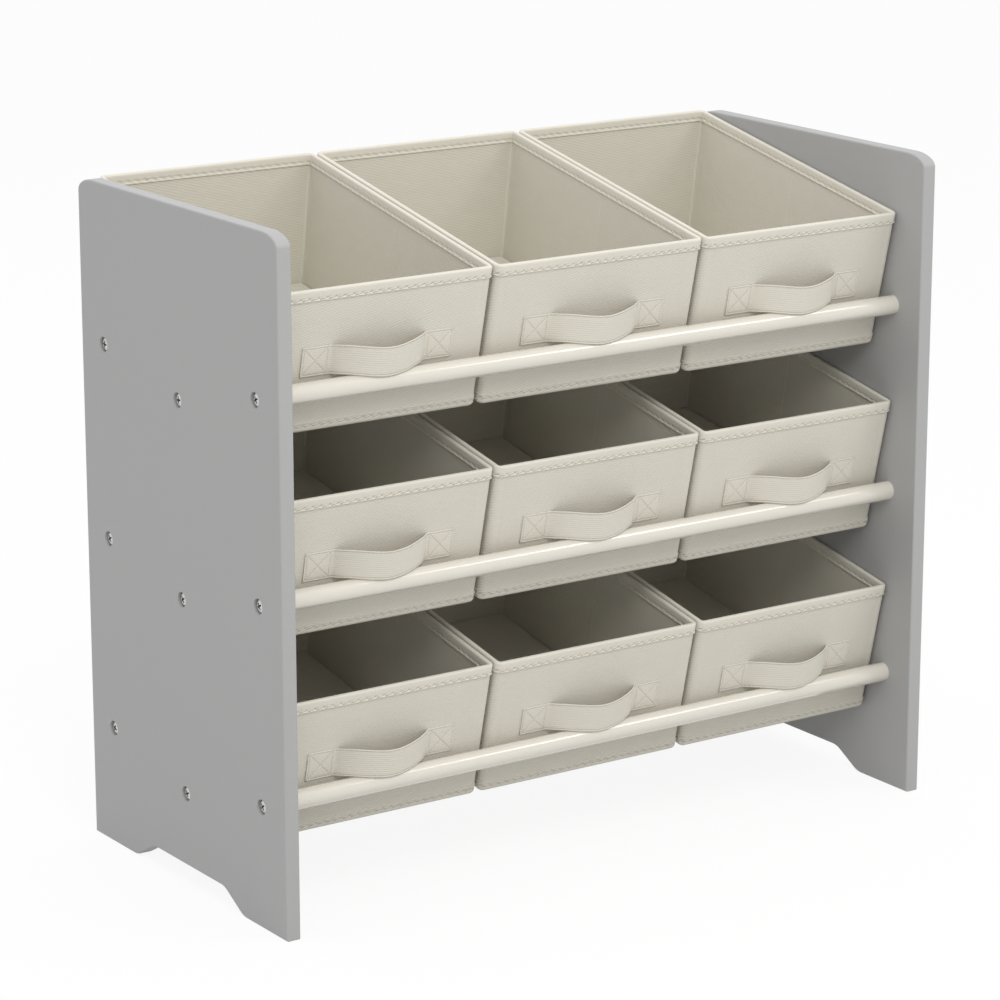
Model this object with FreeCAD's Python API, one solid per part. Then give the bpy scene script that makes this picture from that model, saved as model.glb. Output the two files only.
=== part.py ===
import FreeCAD, Part
import math
import os

# Nine-bin storage organiser for a child's room: two side panels joined by nine round rails, which
# carry three tiers of three fabric bins, tilted towards the front. Sizes are in millimetres.
# The origin is on the floor at the centre of the footprint: +X right, +Y to the back, +Z up.

# Overall size
WIDTH = 630.0
PANEL_HEIGHT = 549.0
PANEL_DEPTH = 305.0
PANEL_THICKNESS = 12.5

# Side panel outline: long flat corner curves at the top, two feet with an arch between them below
CORNER_RUN = 23.0
CORNER_DROP = 10.5
FRONT_FOOT = 61.0
BACK_FOOT = 65.0
ARCH_HEIGHT = 16.0
ARCH_RADIUS = 20.0
ARCH_SLOPE = math.radians(29.0)
EDGE_ROUNDING = 1.5

# Rails: (depth behind the panels' front edge, height) of each rail's axis on the lowest tier
TIER_PITCH = 160.0
TIERS = ("lower", "middle", "upper")
FRONT_RAIL = (35.0, 99.0)
CENTER_RAIL = (152.0, 76.2)
BACK_RAIL = (269.0, 99.0)
RAILS = {"front": FRONT_RAIL, "center": CENTER_RAIL, "back": BACK_RAIL}
RAIL_RADIUS = 8.0
RAIL_WALL = 1.0

# Threaded plugs in the rails' ends, and the screws that pull the panels against them
PLUG_LENGTH = 24.0
PLUG_CLEARANCE = 0.05
THREAD_RADIUS = 3.0
THREAD_CLEARANCE = 0.05
SCREW_LENGTH = 30.0
HEAD_RADIUS = 5.3
HEAD_HEIGHT = 3.4
HEAD_ROUNDING = 0.6
SINK_RADIUS = 6.2
SINK_DEPTH = 4.2
PANEL_HOLE_RADIUS = 3.3
CROSS_LENGTH = 5.8
CROSS_WIDTH = 1.2
CROSS_DEPTH = 1.8

# Bins: a bin's own frame has its base on z = 0 and its base's front edge on y = 0
COLUMNS = ("left", "center", "right")
BIN_WIDTH = 197.8
BASE_DEPTH = 262.0
BIN_HEIGHT = 114.5
WALL_SPREAD = 4.6
WALL = 2.6
FLOOR_FABRIC = 1.0
COVER_FABRIC = 0.45
SIDE_CORNER = 5.5
BASE_CORNER = 4.0
INNER_CORNER = 2.0
BASE_AHEAD_OF_CENTER_RAIL = 96.0
FLOOR_SAG = 4.5
RUNNING_GAP = 0.3

# Stiffeners inside a bin's walls, and the loose board on its floor
BOARD_MARGIN = 6.0
BOARD_FOOT = 4.0
BOARD_PLAY = 0.05
BOARD_TOP_GAP = 1.0
FOLD_GAP = 3.0
BASE_BOARD = 2.5
BASE_BOARD_PLAY = 1.0

# Binding folded over a bin's rim
BINDING = 0.8
BINDING_HEIGHT = 9.5
BINDING_ROUNDING = 1.8

# Webbing handle on a bin's front wall
STRAP_WIDTH = 24.5
STRAP_THICKNESS = 1.4
PATCH_LENGTH = 24.4
LOOP_CHORD = 87.2
LOOP_BOW = 19.5
LOOP_END_RADIUS = 4.0
LOOP_SAG = 3.5
SAG_REACH = 36.0
STRAP_HEIGHT_OVER_RAIL = 0.9

# Lengths below this count as nothing when edges are picked
TINY = 1e-3

# Worked out from the above
INNER_WIDTH = WIDTH - 2 * PANEL_THICKNESS
INNER_X = INNER_WIDTH / 2
TILT = math.atan2(BACK_RAIL[1] - CENTER_RAIL[1], BACK_RAIL[0] - CENTER_RAIL[0])
BIN_PITCH = INNER_WIDTH / len(COLUMNS)
COVER_HEIGHT = BIN_HEIGHT - BINDING
SPREAD_RATE = WALL_SPREAD / BIN_HEIGHT
FRONT_LEAN = TILT + math.atan(SPREAD_RATE)


def base_front_edge():
    """Depth and height of the front edge of a lowest-tier bin's base, which lies on two rails."""
    lift = RAIL_RADIUS + RUNNING_GAP
    contact_y = CENTER_RAIL[0] - lift * math.sin(TILT)
    contact_z = CENTER_RAIL[1] + lift * math.cos(TILT)
    depth = contact_y - BASE_AHEAD_OF_CENTER_RAIL * math.cos(TILT)
    height = contact_z - BASE_AHEAD_OF_CENTER_RAIL * math.sin(TILT)
    return depth, height


BASE_EDGE_Y, BASE_EDGE_Z = base_front_edge()


def footprint_depth():
    """Depth from the panels' front edges to the bins' lower back edges, which stand proud of them."""
    center_y = BASE_DEPTH + SPREAD_RATE * BASE_CORNER - BASE_CORNER
    center_y_behind_edge = center_y * math.cos(TILT) - BASE_CORNER * math.sin(TILT)
    return BASE_EDGE_Y + center_y_behind_edge + BASE_CORNER


# How far the origin lies behind the panels' front edges
ORIGIN_Y = footprint_depth() / 2


def vector(x, y, z):
    return FreeCAD.Vector(x, y, z)


def solid_group(solids):
    """Several separate solids as one compound."""
    return Part.makeCompound(solids)


def wire_of(edges):
    return Part.Wire(Part.__sortEdges__(edges))


def yz_prism(points, x_low, x_high):
    """A solid with the polygon (y, z) points as its side view, from x_low to x_high."""
    corners = [vector(x_low, y, z) for y, z in points]
    face = Part.Face(Part.makePolygon(corners + corners[:1]))
    return face.extrude(vector(x_high - x_low, 0, 0))


def tube(radius, hollow_radius, length, start):
    """A tube along +X from the point start."""
    along = vector(1, 0, 0)
    outside = Part.makeCylinder(radius, length, start, along)
    inside = Part.makeCylinder(hollow_radius, length, start, along)
    return outside.cut(inside)


# ---- Frame: side panels, rails, plugs and screws -------------------------------------------------

def arch_side(foot_end, direction, x):
    """Edges of one side of the foot arch, from the foot's sole up to the arch's flat top."""
    arc_run = ARCH_RADIUS * math.sin(ARCH_SLOPE)
    arc_rise = ARCH_RADIUS * (1 - math.cos(ARCH_SLOPE))
    half_run = ARCH_RADIUS * math.sin(ARCH_SLOPE / 2)
    half_rise = ARCH_RADIUS * (1 - math.cos(ARCH_SLOPE / 2))
    straight_rise = ARCH_HEIGHT - 2 * arc_rise
    straight_run = straight_rise / math.tan(ARCH_SLOPE)
    total_run = 2 * arc_run + straight_run

    def at(run, rise):
        return vector(x, foot_end + direction * run, rise)

    lower = Part.Arc(at(0, 0), at(half_run, half_rise), at(arc_run, arc_rise))
    bend = (total_run - arc_run, ARCH_HEIGHT - arc_rise)
    line = Part.LineSegment(at(arc_run, arc_rise), at(*bend))
    upper = Part.Arc(at(*bend), at(total_run - half_run, ARCH_HEIGHT - half_rise), at(total_run, ARCH_HEIGHT))
    return [lower.toShape(), line.toShape(), upper.toShape()], at(total_run, ARCH_HEIGHT)


def top_corner(center_y, side, x):
    """A quarter of an ellipse at a top corner; side is -1 at the front and +1 at the back."""
    center = vector(x, center_y, PANEL_HEIGHT - CORNER_DROP)
    side_point = center + vector(0, side * CORNER_RUN, 0)
    top_point = center + vector(0, 0, CORNER_DROP)
    half = math.sqrt(0.5)
    middle = center + vector(0, side * CORNER_RUN * half, CORNER_DROP * half)
    ellipse = Part.Ellipse(side_point, top_point, center)
    first = ellipse.parameter(side_point)
    last = ellipse.parameter(top_point)
    low, high = min(first, last), max(first, last)
    if high - low > math.pi:
        low, high = high, low + 2 * math.pi
    arc = Part.ArcOfEllipse(ellipse, low, high)
    assert arc.toShape().distToShape(Part.Vertex(middle))[0] < TINY
    return arc.toShape(), side_point, top_point


def panel_outline(x):
    """The closed outline of a side panel in the plane at x."""
    front, back = 0.0, PANEL_DEPTH
    front_arc, front_side, front_top = top_corner(front + CORNER_RUN, -1, x)
    back_arc, back_side, back_top = top_corner(back - CORNER_RUN, 1, x)
    front_sole_end, back_sole_end = FRONT_FOOT, PANEL_DEPTH - BACK_FOOT
    front_arch, front_arch_top = arch_side(front_sole_end, 1, x)
    back_arch, back_arch_top = arch_side(back_sole_end, -1, x)
    straight = [
        (vector(x, front, 0), front_side),
        (front_top, back_top),
        (back_side, vector(x, back, 0)),
        (vector(x, back, 0), vector(x, back_sole_end, 0)),
        (back_arch_top, front_arch_top),
        (vector(x, front_sole_end, 0), vector(x, front, 0)),
    ]
    lines = [Part.LineSegment(a, b).toShape() for a, b in straight]
    return wire_of(lines + [front_arc, back_arc] + front_arch + back_arch)


def rail_axes():
    """Every rail as (tier, position, depth, height)."""
    for level, tier in enumerate(TIERS):
        for position, (depth, height) in RAILS.items():
            yield tier, position, depth, height + level * TIER_PITCH


def side_panel(side):
    """One painted board; side is -1 for the left panel and +1 for the right."""
    inner = side * INNER_X
    outer = side * WIDTH / 2
    board = Part.Face(panel_outline(inner)).extrude(vector(outer - inner, 0, 0))
    rim = [e for e in board.Edges if e.BoundBox.XLength < TINY]
    board = board.makeFillet(EDGE_ROUNDING, rim)
    outward = vector(side, 0, 0)
    for _, _, depth, height in rail_axes():
        through = Part.makeCylinder(PANEL_HOLE_RADIUS, PANEL_THICKNESS, vector(inner, depth, height), outward)
        sink_start = vector(outer - side * SINK_DEPTH, depth, height)
        sink = Part.makeCylinder(SINK_RADIUS, SINK_DEPTH, sink_start, outward)
        board = board.cut(through).cut(sink)
    return board


def rail(depth, height):
    """A coated steel tube between the panels' inner faces."""
    return tube(RAIL_RADIUS, RAIL_RADIUS - RAIL_WALL, INNER_WIDTH, vector(-INNER_X, depth, height))


def end_plug(side, depth, height):
    """A threaded plastic plug pressed into one end of a rail."""
    start_x = -INNER_X if side < 0 else INNER_X - PLUG_LENGTH
    radius = RAIL_RADIUS - RAIL_WALL - PLUG_CLEARANCE
    return tube(radius, THREAD_RADIUS + THREAD_CLEARANCE, PLUG_LENGTH, vector(start_x, depth, height))


def screw(side, depth, height):
    """A round-head screw with a cross recess, driven through a panel into a rail's plug."""
    seat_x = side * (WIDTH / 2 - SINK_DEPTH)
    outward = vector(side, 0, 0)
    seat = vector(seat_x, depth, height)
    head = Part.makeCylinder(HEAD_RADIUS, HEAD_HEIGHT, seat, outward)
    crown_x = seat_x + side * HEAD_HEIGHT
    crown = [e for e in head.Edges if abs(e.BoundBox.XMin - crown_x) + abs(e.BoundBox.XMax - crown_x) < TINY]
    head = head.makeFillet(HEAD_ROUNDING, crown)
    shank = Part.makeCylinder(THREAD_RADIUS, SCREW_LENGTH, seat, outward * -1)
    body = head.fuse(shank)
    slot_x = min(crown_x, crown_x - side * CROSS_DEPTH)
    for length_y, length_z in ((CROSS_LENGTH, CROSS_WIDTH), (CROSS_WIDTH, CROSS_LENGTH)):
        corner = vector(slot_x, depth - length_y / 2, height - length_z / 2)
        body = body.cut(Part.makeBox(CROSS_DEPTH, length_y, length_z, corner))
    return body.removeSplitter()


# ---- Bins, built in their own frame --------------------------------------------------------------

def side_profile(outset, z_low, z_high):
    """A bin's side view between two heights, moved outwards by outset."""
    def front(z):
        return -SPREAD_RATE * z - outset

    def back(z):
        return BASE_DEPTH + SPREAD_RATE * z + outset

    return [(front(z_low), z_low), (back(z_low), z_low), (back(z_high), z_high), (front(z_high), z_high)]


def upright_edges(solid):
    """The edges of a bin block that run up its corners."""
    picked = [e for e in solid.Edges if e.BoundBox.XLength < TINY]
    return [e for e in picked if e.BoundBox.ZLength > e.BoundBox.YLength]


def level_edges(solid, height):
    """The edges of a bin block that lie at one height."""
    picked = [e for e in solid.Edges if e.BoundBox.ZLength < TINY]
    return [e for e in picked if abs(e.BoundBox.ZMin - height) < TINY]


def bin_block(outset, z_low, z_high, corner):
    """A tapered block with rounded upright corners, outset from a bin's outer walls."""
    half = BIN_WIDTH / 2 + outset
    block = yz_prism(side_profile(outset, z_low, z_high), -half, half)
    return block.makeFillet(corner, upright_edges(block))


def sag_at(y):
    """How far the floor hangs in front of the center rail, at a depth y behind the base's front edge."""
    return FLOOR_SAG * (1 - y / BASE_AHEAD_OF_CENTER_RAIL) ** 2


def sagging_block(inset, floor, z_high, corner):
    """A bin block whose floor curves down from the center rail to the front wall."""
    profile = side_profile(-inset, floor, z_high)
    bend = vector(0, BASE_AHEAD_OF_CENTER_RAIL, floor)
    back_low, back_high, front_high = [vector(0, y, z) for y, z in profile[1:]]
    drop = sag_at(inset)
    front_low = vector(0, inset + SPREAD_RATE * (drop - floor), floor - drop)
    run = bend.y - front_low.y
    half_turn = math.atan(drop / run)
    radius = run / math.sin(2 * half_turn)
    middle = bend - vector(0, radius * math.sin(half_turn), radius * (1 - math.cos(half_turn)))
    corners = [bend, back_low, back_high, front_high, front_low]
    edges = [Part.LineSegment(a, b).toShape() for a, b in zip(corners, corners[1:])]
    edges.append(Part.Arc(front_low, middle, bend).toShape())
    half = BIN_WIDTH / 2 - inset
    block = Part.Face(wire_of(edges)).extrude(vector(2 * half, 0, 0))
    block.translate(vector(-half, 0, 0))
    return block.makeFillet(corner, upright_edges(block))


def floor_edges(block, floor):
    """The edges round the floor of a sagging block, without the line where its curve starts."""
    low = [e for e in block.Edges if e.BoundBox.ZMax < floor + TINY]
    return [e for e in low if abs(e.BoundBox.Center.y - BASE_AHEAD_OF_CENTER_RAIL) > TINY]


def wall_boards(play):
    """The six stiffening boards in a bin's walls, each smaller than its pocket by play all round."""
    near = COVER_FABRIC + play
    far = WALL - COVER_FABRIC - play
    margin = BOARD_MARGIN + play
    low = BOARD_FOOT + play
    high = COVER_HEIGHT - BOARD_TOP_GAP
    half_width = BIN_WIDTH / 2 - margin

    def front(inset, z):
        return (inset - SPREAD_RATE * z, z)

    def back(inset, z):
        return (BASE_DEPTH - inset + SPREAD_RATE * z, z)

    front_board = [front(near, low), front(far, low), front(far, high), front(near, high)]
    back_board = [back(near, low), back(far, low), back(far, high), back(near, high)]
    boards = [yz_prism(outline, -half_width, half_width) for outline in (front_board, back_board)]

    fold_front = BASE_DEPTH / 2 - FOLD_GAP / 2 - play
    fold_back = BASE_DEPTH / 2 + FOLD_GAP / 2 + play
    front_half = [front(margin, low), (fold_front, low), (fold_front, high), front(margin, high)]
    back_half = [(fold_back, low), back(margin, low), back(margin, high), (fold_back, high)]
    side_near, side_far = BIN_WIDTH / 2 - near, BIN_WIDTH / 2 - far
    for x_low, x_high in ((-side_near, -side_far), (side_far, side_near)):
        boards.append(yz_prism(front_half, x_low, x_high))
        boards.append(yz_prism(back_half, x_low, x_high))
    return solid_group(boards)


def bin_cover():
    """The sewn fabric box with closed pockets in its walls, open at the top."""
    outside = sagging_block(0, 0, COVER_HEIGHT, SIDE_CORNER)
    outside = outside.makeFillet(BASE_CORNER, floor_edges(outside, 0))
    inside = sagging_block(WALL, FLOOR_FABRIC, COVER_HEIGHT + 1, INNER_CORNER)
    return outside.cut(inside).cut(wall_boards(0))


def rim_binding():
    """A fabric tape folded over the rim of the cover's walls."""
    low = BIN_HEIGHT - BINDING_HEIGHT
    outside = bin_block(BINDING, low, BIN_HEIGHT, SIDE_CORNER + BINDING)
    outside = outside.makeFillet(BINDING_ROUNDING, level_edges(outside, BIN_HEIGHT))
    inside = bin_block(-WALL - BINDING, low - 1, BIN_HEIGHT + 1, INNER_CORNER)
    wall = bin_block(0, low - 1, COVER_HEIGHT, SIDE_CORNER).cut(bin_block(-WALL, low - 2, BIN_HEIGHT, INNER_CORNER))
    return outside.cut(inside).cut(wall)


def base_board():
    """The loose fabric-covered board on a bin's floor."""
    return bin_block(-WALL - BASE_BOARD_PLAY, FLOOR_FABRIC, FLOOR_FABRIC + BASE_BOARD, INNER_CORNER)


# ---- Handle, built upright with the front edge of the bin's base at the origin ---------------------

def loop_arc(center, radius, start, end):
    """An arc about (x, outward) center in the floor plane; outward is towards -Y."""
    def at(angle):
        return vector(center[0] + radius * math.cos(angle), -center[1] - radius * math.sin(angle), 0)

    return Part.Arc(at(start), at((start + end) / 2), at(end)).toShape()


def strap_plan():
    """The strap seen from above: flat on the wall at its ends, bowed outwards between them."""
    half_chord = LOOP_CHORD / 2
    half_strap = half_chord + PATCH_LENGTH
    turn = 2 * math.atan(LOOP_BOW / half_chord)
    bow_radius = half_chord / math.sin(turn) - LOOP_END_RADIUS
    up, down = math.pi / 2, -math.pi / 2
    edges = []
    for outward in (0.0, STRAP_THICKNESS):
        for side in (-1, 1):
            center = (side * half_chord, LOOP_END_RADIUS)
            edges.append(loop_arc(center, LOOP_END_RADIUS - outward, down, down - side * turn))
            foot = vector(side * half_chord, -outward, 0)
            edges.append(Part.LineSegment(foot, vector(side * half_strap, -outward, 0)).toShape())
        edges.append(loop_arc((0, LOOP_BOW - bow_radius), bow_radius + outward, up - turn, up + turn))
    for side in (-1, 1):
        wall_point = vector(side * half_strap, 0, 0)
        edges.append(Part.LineSegment(wall_point, vector(side * half_strap, -STRAP_THICKNESS, 0)).toShape())
    return Part.Face(wire_of(edges))


def sagging_edge(level, near, half_strap):
    """A level line across the strap that dips in its middle by two arcs each way."""
    turn = 2 * math.atan(LOOP_SAG / SAG_REACH)
    radius = SAG_REACH / (2 * math.sin(turn))
    bend_x = SAG_REACH - radius * math.sin(turn / 2)
    bend_drop = radius * (1 - math.cos(turn / 2))

    def at(x, drop):
        return vector(x, near, level - drop)

    dip = Part.Arc(at(-SAG_REACH / 2, LOOP_SAG / 2), at(0, LOOP_SAG), at(SAG_REACH / 2, LOOP_SAG / 2))
    edges = [dip.toShape()]
    for side in (-1, 1):
        inner = at(side * SAG_REACH / 2, LOOP_SAG / 2)
        outer = at(side * SAG_REACH, 0)
        edges.append(Part.Arc(inner, at(side * bend_x, bend_drop), outer).toShape())
        edges.append(Part.LineSegment(outer, at(side * half_strap, 0)).toShape())
    return edges


def strap_front_view(bottom, depth):
    """The strap seen from the front, sagging a little in the middle of its loop, as a block."""
    half_strap = LOOP_CHORD / 2 + PATCH_LENGTH + STRAP_THICKNESS
    height = STRAP_WIDTH * math.cos(FRONT_LEAN)
    near = -depth
    edges = sagging_edge(bottom, near, half_strap) + sagging_edge(bottom + height, near, half_strap)
    for x in (-half_strap, half_strap):
        edges.append(Part.LineSegment(vector(x, near, bottom), vector(x, near, bottom + height)).toShape())
    return Part.Face(wire_of(edges)).extrude(vector(0, 2 * depth, 0))


def handle():
    """A webbing strap sewn to the front wall by its ends, just above the front rail."""
    bottom = FRONT_RAIL[1] + RAIL_RADIUS + STRAP_HEIGHT_OVER_RAIL - BASE_EDGE_Z
    margin = 2 * LOOP_SAG
    up_wall = vector(0, -math.tan(FRONT_LEAN), 1)
    band = strap_plan().extrude(up_wall * (STRAP_WIDTH + 2 * margin))
    band.translate(up_wall * (bottom - margin))
    return band.common(strap_front_view(bottom, PANEL_DEPTH / 2))


# ---- Assembly --------------------------------------------------------------------------------------

def placed(shape, column, level, tilted):
    """A copy of a bin's shape where it lies in the organiser; the handle is built without the tilt."""
    center_x = (column - 1) * BIN_PITCH
    turn = FreeCAD.Rotation(vector(1, 0, 0), math.degrees(TILT) if tilted else 0)
    place = FreeCAD.Placement(vector(center_x, BASE_EDGE_Y, BASE_EDGE_Z + level * TIER_PITCH), turn)
    copy = shape.copy()
    copy.Placement = place.multiply(copy.Placement)
    return copy


def export(shape, node):
    """Writes a node, moved so that the origin is at the centre of the footprint."""
    moved = shape.copy()
    moved.translate(vector(0, -ORIGIN_Y, 0))
    assert moved.isValid(), node
    moved.exportStep("parts/" + node + ".step")


def build_frame():
    export(side_panel(-1), "left_panel")
    export(side_panel(1), "right_panel")
    for tier, position, depth, height in rail_axes():
        export(rail(depth, height), tier + "_" + position + "_rail")
    for side, name in ((-1, "left"), (1, "right")):
        export(solid_group([screw(side, y, z) for _, _, y, z in rail_axes()]), name + "_panel_screws")
    plugs = [end_plug(side, y, z) for side in (-1, 1) for _, _, y, z in rail_axes()]
    export(solid_group(plugs), "rail_end_plugs")


def build_bins():
    pieces = {
        "cover": (bin_cover(), True),
        "wall_boards": (wall_boards(BOARD_PLAY), True),
        "base_board": (base_board(), True),
        "rim_binding": (rim_binding(), True),
        "handle": (handle(), False),
    }
    for level, tier in enumerate(TIERS):
        for column, side in enumerate(COLUMNS):
            for piece, (shape, tilted) in pieces.items():
                node = tier + "_" + side + "_bin_" + piece
                export(placed(shape, column, level, tilted), node)


def main():
    os.makedirs("parts", exist_ok=True)
    build_frame()
    build_bins()


main()
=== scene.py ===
import logging
import math
from dataclasses import dataclass, field, replace
from enum import Enum
from typing import Optional, Sequence, Union

import bmesh
import bpy
import numpy as np
from mathutils import Matrix, Vector, noise


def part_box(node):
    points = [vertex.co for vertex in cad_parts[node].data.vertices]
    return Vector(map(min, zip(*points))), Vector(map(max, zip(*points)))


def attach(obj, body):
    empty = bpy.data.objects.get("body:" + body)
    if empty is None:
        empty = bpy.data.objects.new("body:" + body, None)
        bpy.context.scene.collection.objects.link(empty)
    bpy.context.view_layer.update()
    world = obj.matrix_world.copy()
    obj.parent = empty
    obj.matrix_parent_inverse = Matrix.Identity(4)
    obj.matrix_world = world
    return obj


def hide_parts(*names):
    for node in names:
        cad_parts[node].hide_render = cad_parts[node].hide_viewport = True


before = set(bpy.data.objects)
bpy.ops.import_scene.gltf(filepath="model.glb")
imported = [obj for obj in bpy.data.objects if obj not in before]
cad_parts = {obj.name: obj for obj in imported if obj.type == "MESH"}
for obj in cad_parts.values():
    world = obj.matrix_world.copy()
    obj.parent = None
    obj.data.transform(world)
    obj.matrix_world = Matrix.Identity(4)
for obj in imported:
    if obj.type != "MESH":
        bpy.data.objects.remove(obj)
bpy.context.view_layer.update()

# Looks of a nine-bin storage organiser: painted side panels, coated rails, plated screws, and sewn
# fabric bins with bound rims and strap handles. Lengths are in metres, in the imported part's frame.

MM = 0.001
TIERS = ("lower", "middle", "upper")
COLUMNS = ("left", "center", "right")
WEAVE_MAP = "weave"
# The map that marks the screws' cross recess, where the plating gets painted shade.
RECESS_MAP = "recess"
OUTWARD = "outward"
WELD = 1e-6
# On the weave map, how far the walls' inside and level cloth lie from the walls' outside.
INSIDE_SHIFT = 0.3
FLAT_SHIFT = 0.5

log = logging.getLogger("organiser")


def srgb(red: int, green: int, blue: int) -> tuple[float, float, float, float]:
    """The linear colour of an 8-bit display colour.

    Args:
        red: Red, 0 to 255.
        green: Green, 0 to 255.
        blue: Blue, 0 to 255.

    Returns:
        Linear red, green, blue and an alpha of 1.
    """
    def linear(value: int) -> float:
        """One channel's linear value."""
        share = value / 255
        return share / 12.92 if share <= 0.04045 else ((share + 0.055) / 1.055) ** 2.4

    return linear(red), linear(green), linear(blue), 1.0


# ---- Node trees written as expressions -----------------------------------------------------------

Value = Union[float, int, bool, str, Sequence[float], "Wire", bpy.types.ID]


@dataclass(frozen=True)
class Wire:
    """An output socket that takes part in arithmetic; each operation adds a Math node."""

    maker: "NodeMaker"
    socket: bpy.types.NodeSocket

    def __add__(self, other: Value) -> "Wire":
        """Sum."""
        return self.maker.math("ADD", self, other)

    def __sub__(self, other: Value) -> "Wire":
        """Difference."""
        return self.maker.math("SUBTRACT", self, other)

    def __rsub__(self, other: Value) -> "Wire":
        """Difference from a number on the left."""
        return self.maker.math("SUBTRACT", other, self)

    def __mul__(self, other: Value) -> "Wire":
        """Product."""
        return self.maker.math("MULTIPLY", self, other)

    def __truediv__(self, other: Value) -> "Wire":
        """Quotient."""
        return self.maker.math("DIVIDE", self, other)

    def other(self, output: str) -> "Wire":
        """Another output of the same node."""
        return Wire(self.maker, self.socket.node.outputs[output])


@dataclass(frozen=True)
class NodeMaker:
    """Adds nodes to one shader or geometry tree."""

    tree: bpy.types.NodeTree

    @classmethod
    def of(cls, owner: Union[bpy.types.Material, bpy.types.World]) -> "NodeMaker":
        """A maker for the emptied node tree of a material or a world.

        Args:
            owner: The material or the world.

        Returns:
            The maker.
        """
        owner.use_nodes = True
        owner.node_tree.nodes.clear()
        return cls(owner.node_tree)

    def node(self, kind: str, settings: Optional[dict[str, object]] = None,
             values: Optional[dict[Union[str, int], Value]] = None, output: Union[str, int] = 0) -> Wire:
        """Adds a node, sets it up and links it.

        Args:
            kind: The node's type.
            settings: The node's own settings.
            values: Values or wires of its inputs, by name or index.
            output: The output to return.

        Returns:
            The node's output, or its first input where it has no output.
        """
        node = self.tree.nodes.new(kind)
        for name, setting in (settings or {}).items():
            setattr(node, name, setting)
        for name, value in (values or {}).items():
            if isinstance(value, Wire):
                self.tree.links.new(value.socket, node.inputs[name])
            else:
                node.inputs[name].default_value = value
        return Wire(self, node.outputs[output] if len(node.outputs) else node.inputs[0])

    def math(self, operation: str, *values: Value) -> Wire:
        """A Math node on numbers and wires."""
        return self.node("ShaderNodeMath", {"operation": operation}, dict(enumerate(values)))

    def wave(self, phase: Wire) -> Wire:
        """A sine of a phase given in turns, from 0 to 1."""
        return self.math("SINE", phase * math.tau) * 0.5 + 0.5

    def blend(self, factor: Value, first: Value, second: Value) -> Wire:
        """A mix of two colours."""
        return self.node("ShaderNodeMix", {"data_type": "RGBA"}, {0: factor, 6: first, 7: second}, 2)

    def noise(self, place: Wire, scale: float, detail: float, distortion: float = 0.0) -> Wire:
        """A noise with so many cells to the metre."""
        return self.node("ShaderNodeTexNoise", values={
            "Vector": place, "Scale": scale, "Detail": detail, "Distortion": distortion})

    def relief(self, height: Wire, depth: float) -> Wire:
        """The normal of a surface with a fine relief, whose height runs from 0 to 1."""
        return self.node("ShaderNodeBump", values={"Height": height, "Distance": depth})


# ---- Finishes ------------------------------------------------------------------------------------

class Weave(Enum):
    """How a cloth's threads cross."""

    TWILL = "twill"
    PLAIN = "plain"
    RIBBED = "ribbed"


@dataclass(frozen=True)
class Finish:
    """A surface finish with a name and a base colour as displayed."""

    name: str
    color: tuple[int, int, int]
    roughness: float = 0.5

    def material(self) -> bpy.types.Material:
        """The finish as a material, made once.

        Returns:
            The material with this finish's name.
        """
        found = bpy.data.materials.get(self.name)
        if found:
            return found
        made = bpy.data.materials.new(self.name)
        maker = NodeMaker.of(made)
        maker.node("ShaderNodeOutputMaterial", values={"Surface": self.shader(maker)})
        made.diffuse_color = srgb(*self.color)
        return made

    def shader(self, maker: NodeMaker) -> Wire:
        """The finish's surface shader."""
        raise NotImplementedError

    @staticmethod
    def place(maker: NodeMaker) -> Wire:
        """The place on the object, in metres."""
        return maker.node("ShaderNodeTexCoord", output="Object")

    def shade(self, maker: NodeMaker, share: Wire, darkest: float) -> Wire:
        """The base colour, darkened where share is low.

        Args:
            maker: The tree's node maker.
            share: 0 where the surface is darkest, 1 where it has its full colour.
            darkest: The colour's factor where share is 0.

        Returns:
            The colour.
        """
        full = srgb(*self.color)
        dark = tuple(channel * darkest for channel in full[:3]) + (1.0,)
        return maker.blend(share, dark, full)


@dataclass(frozen=True)
class PaintedBoard(Finish):
    """Satin paint on fibreboard, with the faint orange peel of a sprayed coat."""

    cloud_size: float = 0.16
    peel_size: float = 1.3 * MM
    peel_depth: float = 0.035 * MM
    grain_scale: float = 2600.0
    darkest: float = 0.955
    specular: float = 0.42

    def shader(self, maker: NodeMaker) -> Wire:
        """Paint with slow changes of shade and a fine relief.

        Args:
            maker: The tree's node maker.

        Returns:
            The shader.
        """
        place = self.place(maker)
        clouds = maker.noise(place, 1 / self.cloud_size, 3.0)
        peel = maker.noise(place, 1 / self.peel_size, 2.0)
        grain = maker.noise(place, self.grain_scale, 1.0)
        return maker.node("ShaderNodeBsdfPrincipled", values={
            "Base Color": self.shade(maker, clouds * 0.7 + grain * 0.3, self.darkest),
            "Roughness": clouds * 0.08 + (self.roughness - 0.04) + peel * 0.05,
            "Specular IOR Level": self.specular,
            "Normal": maker.relief(peel * 0.75 + grain * 0.25, self.peel_depth),
        })


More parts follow.
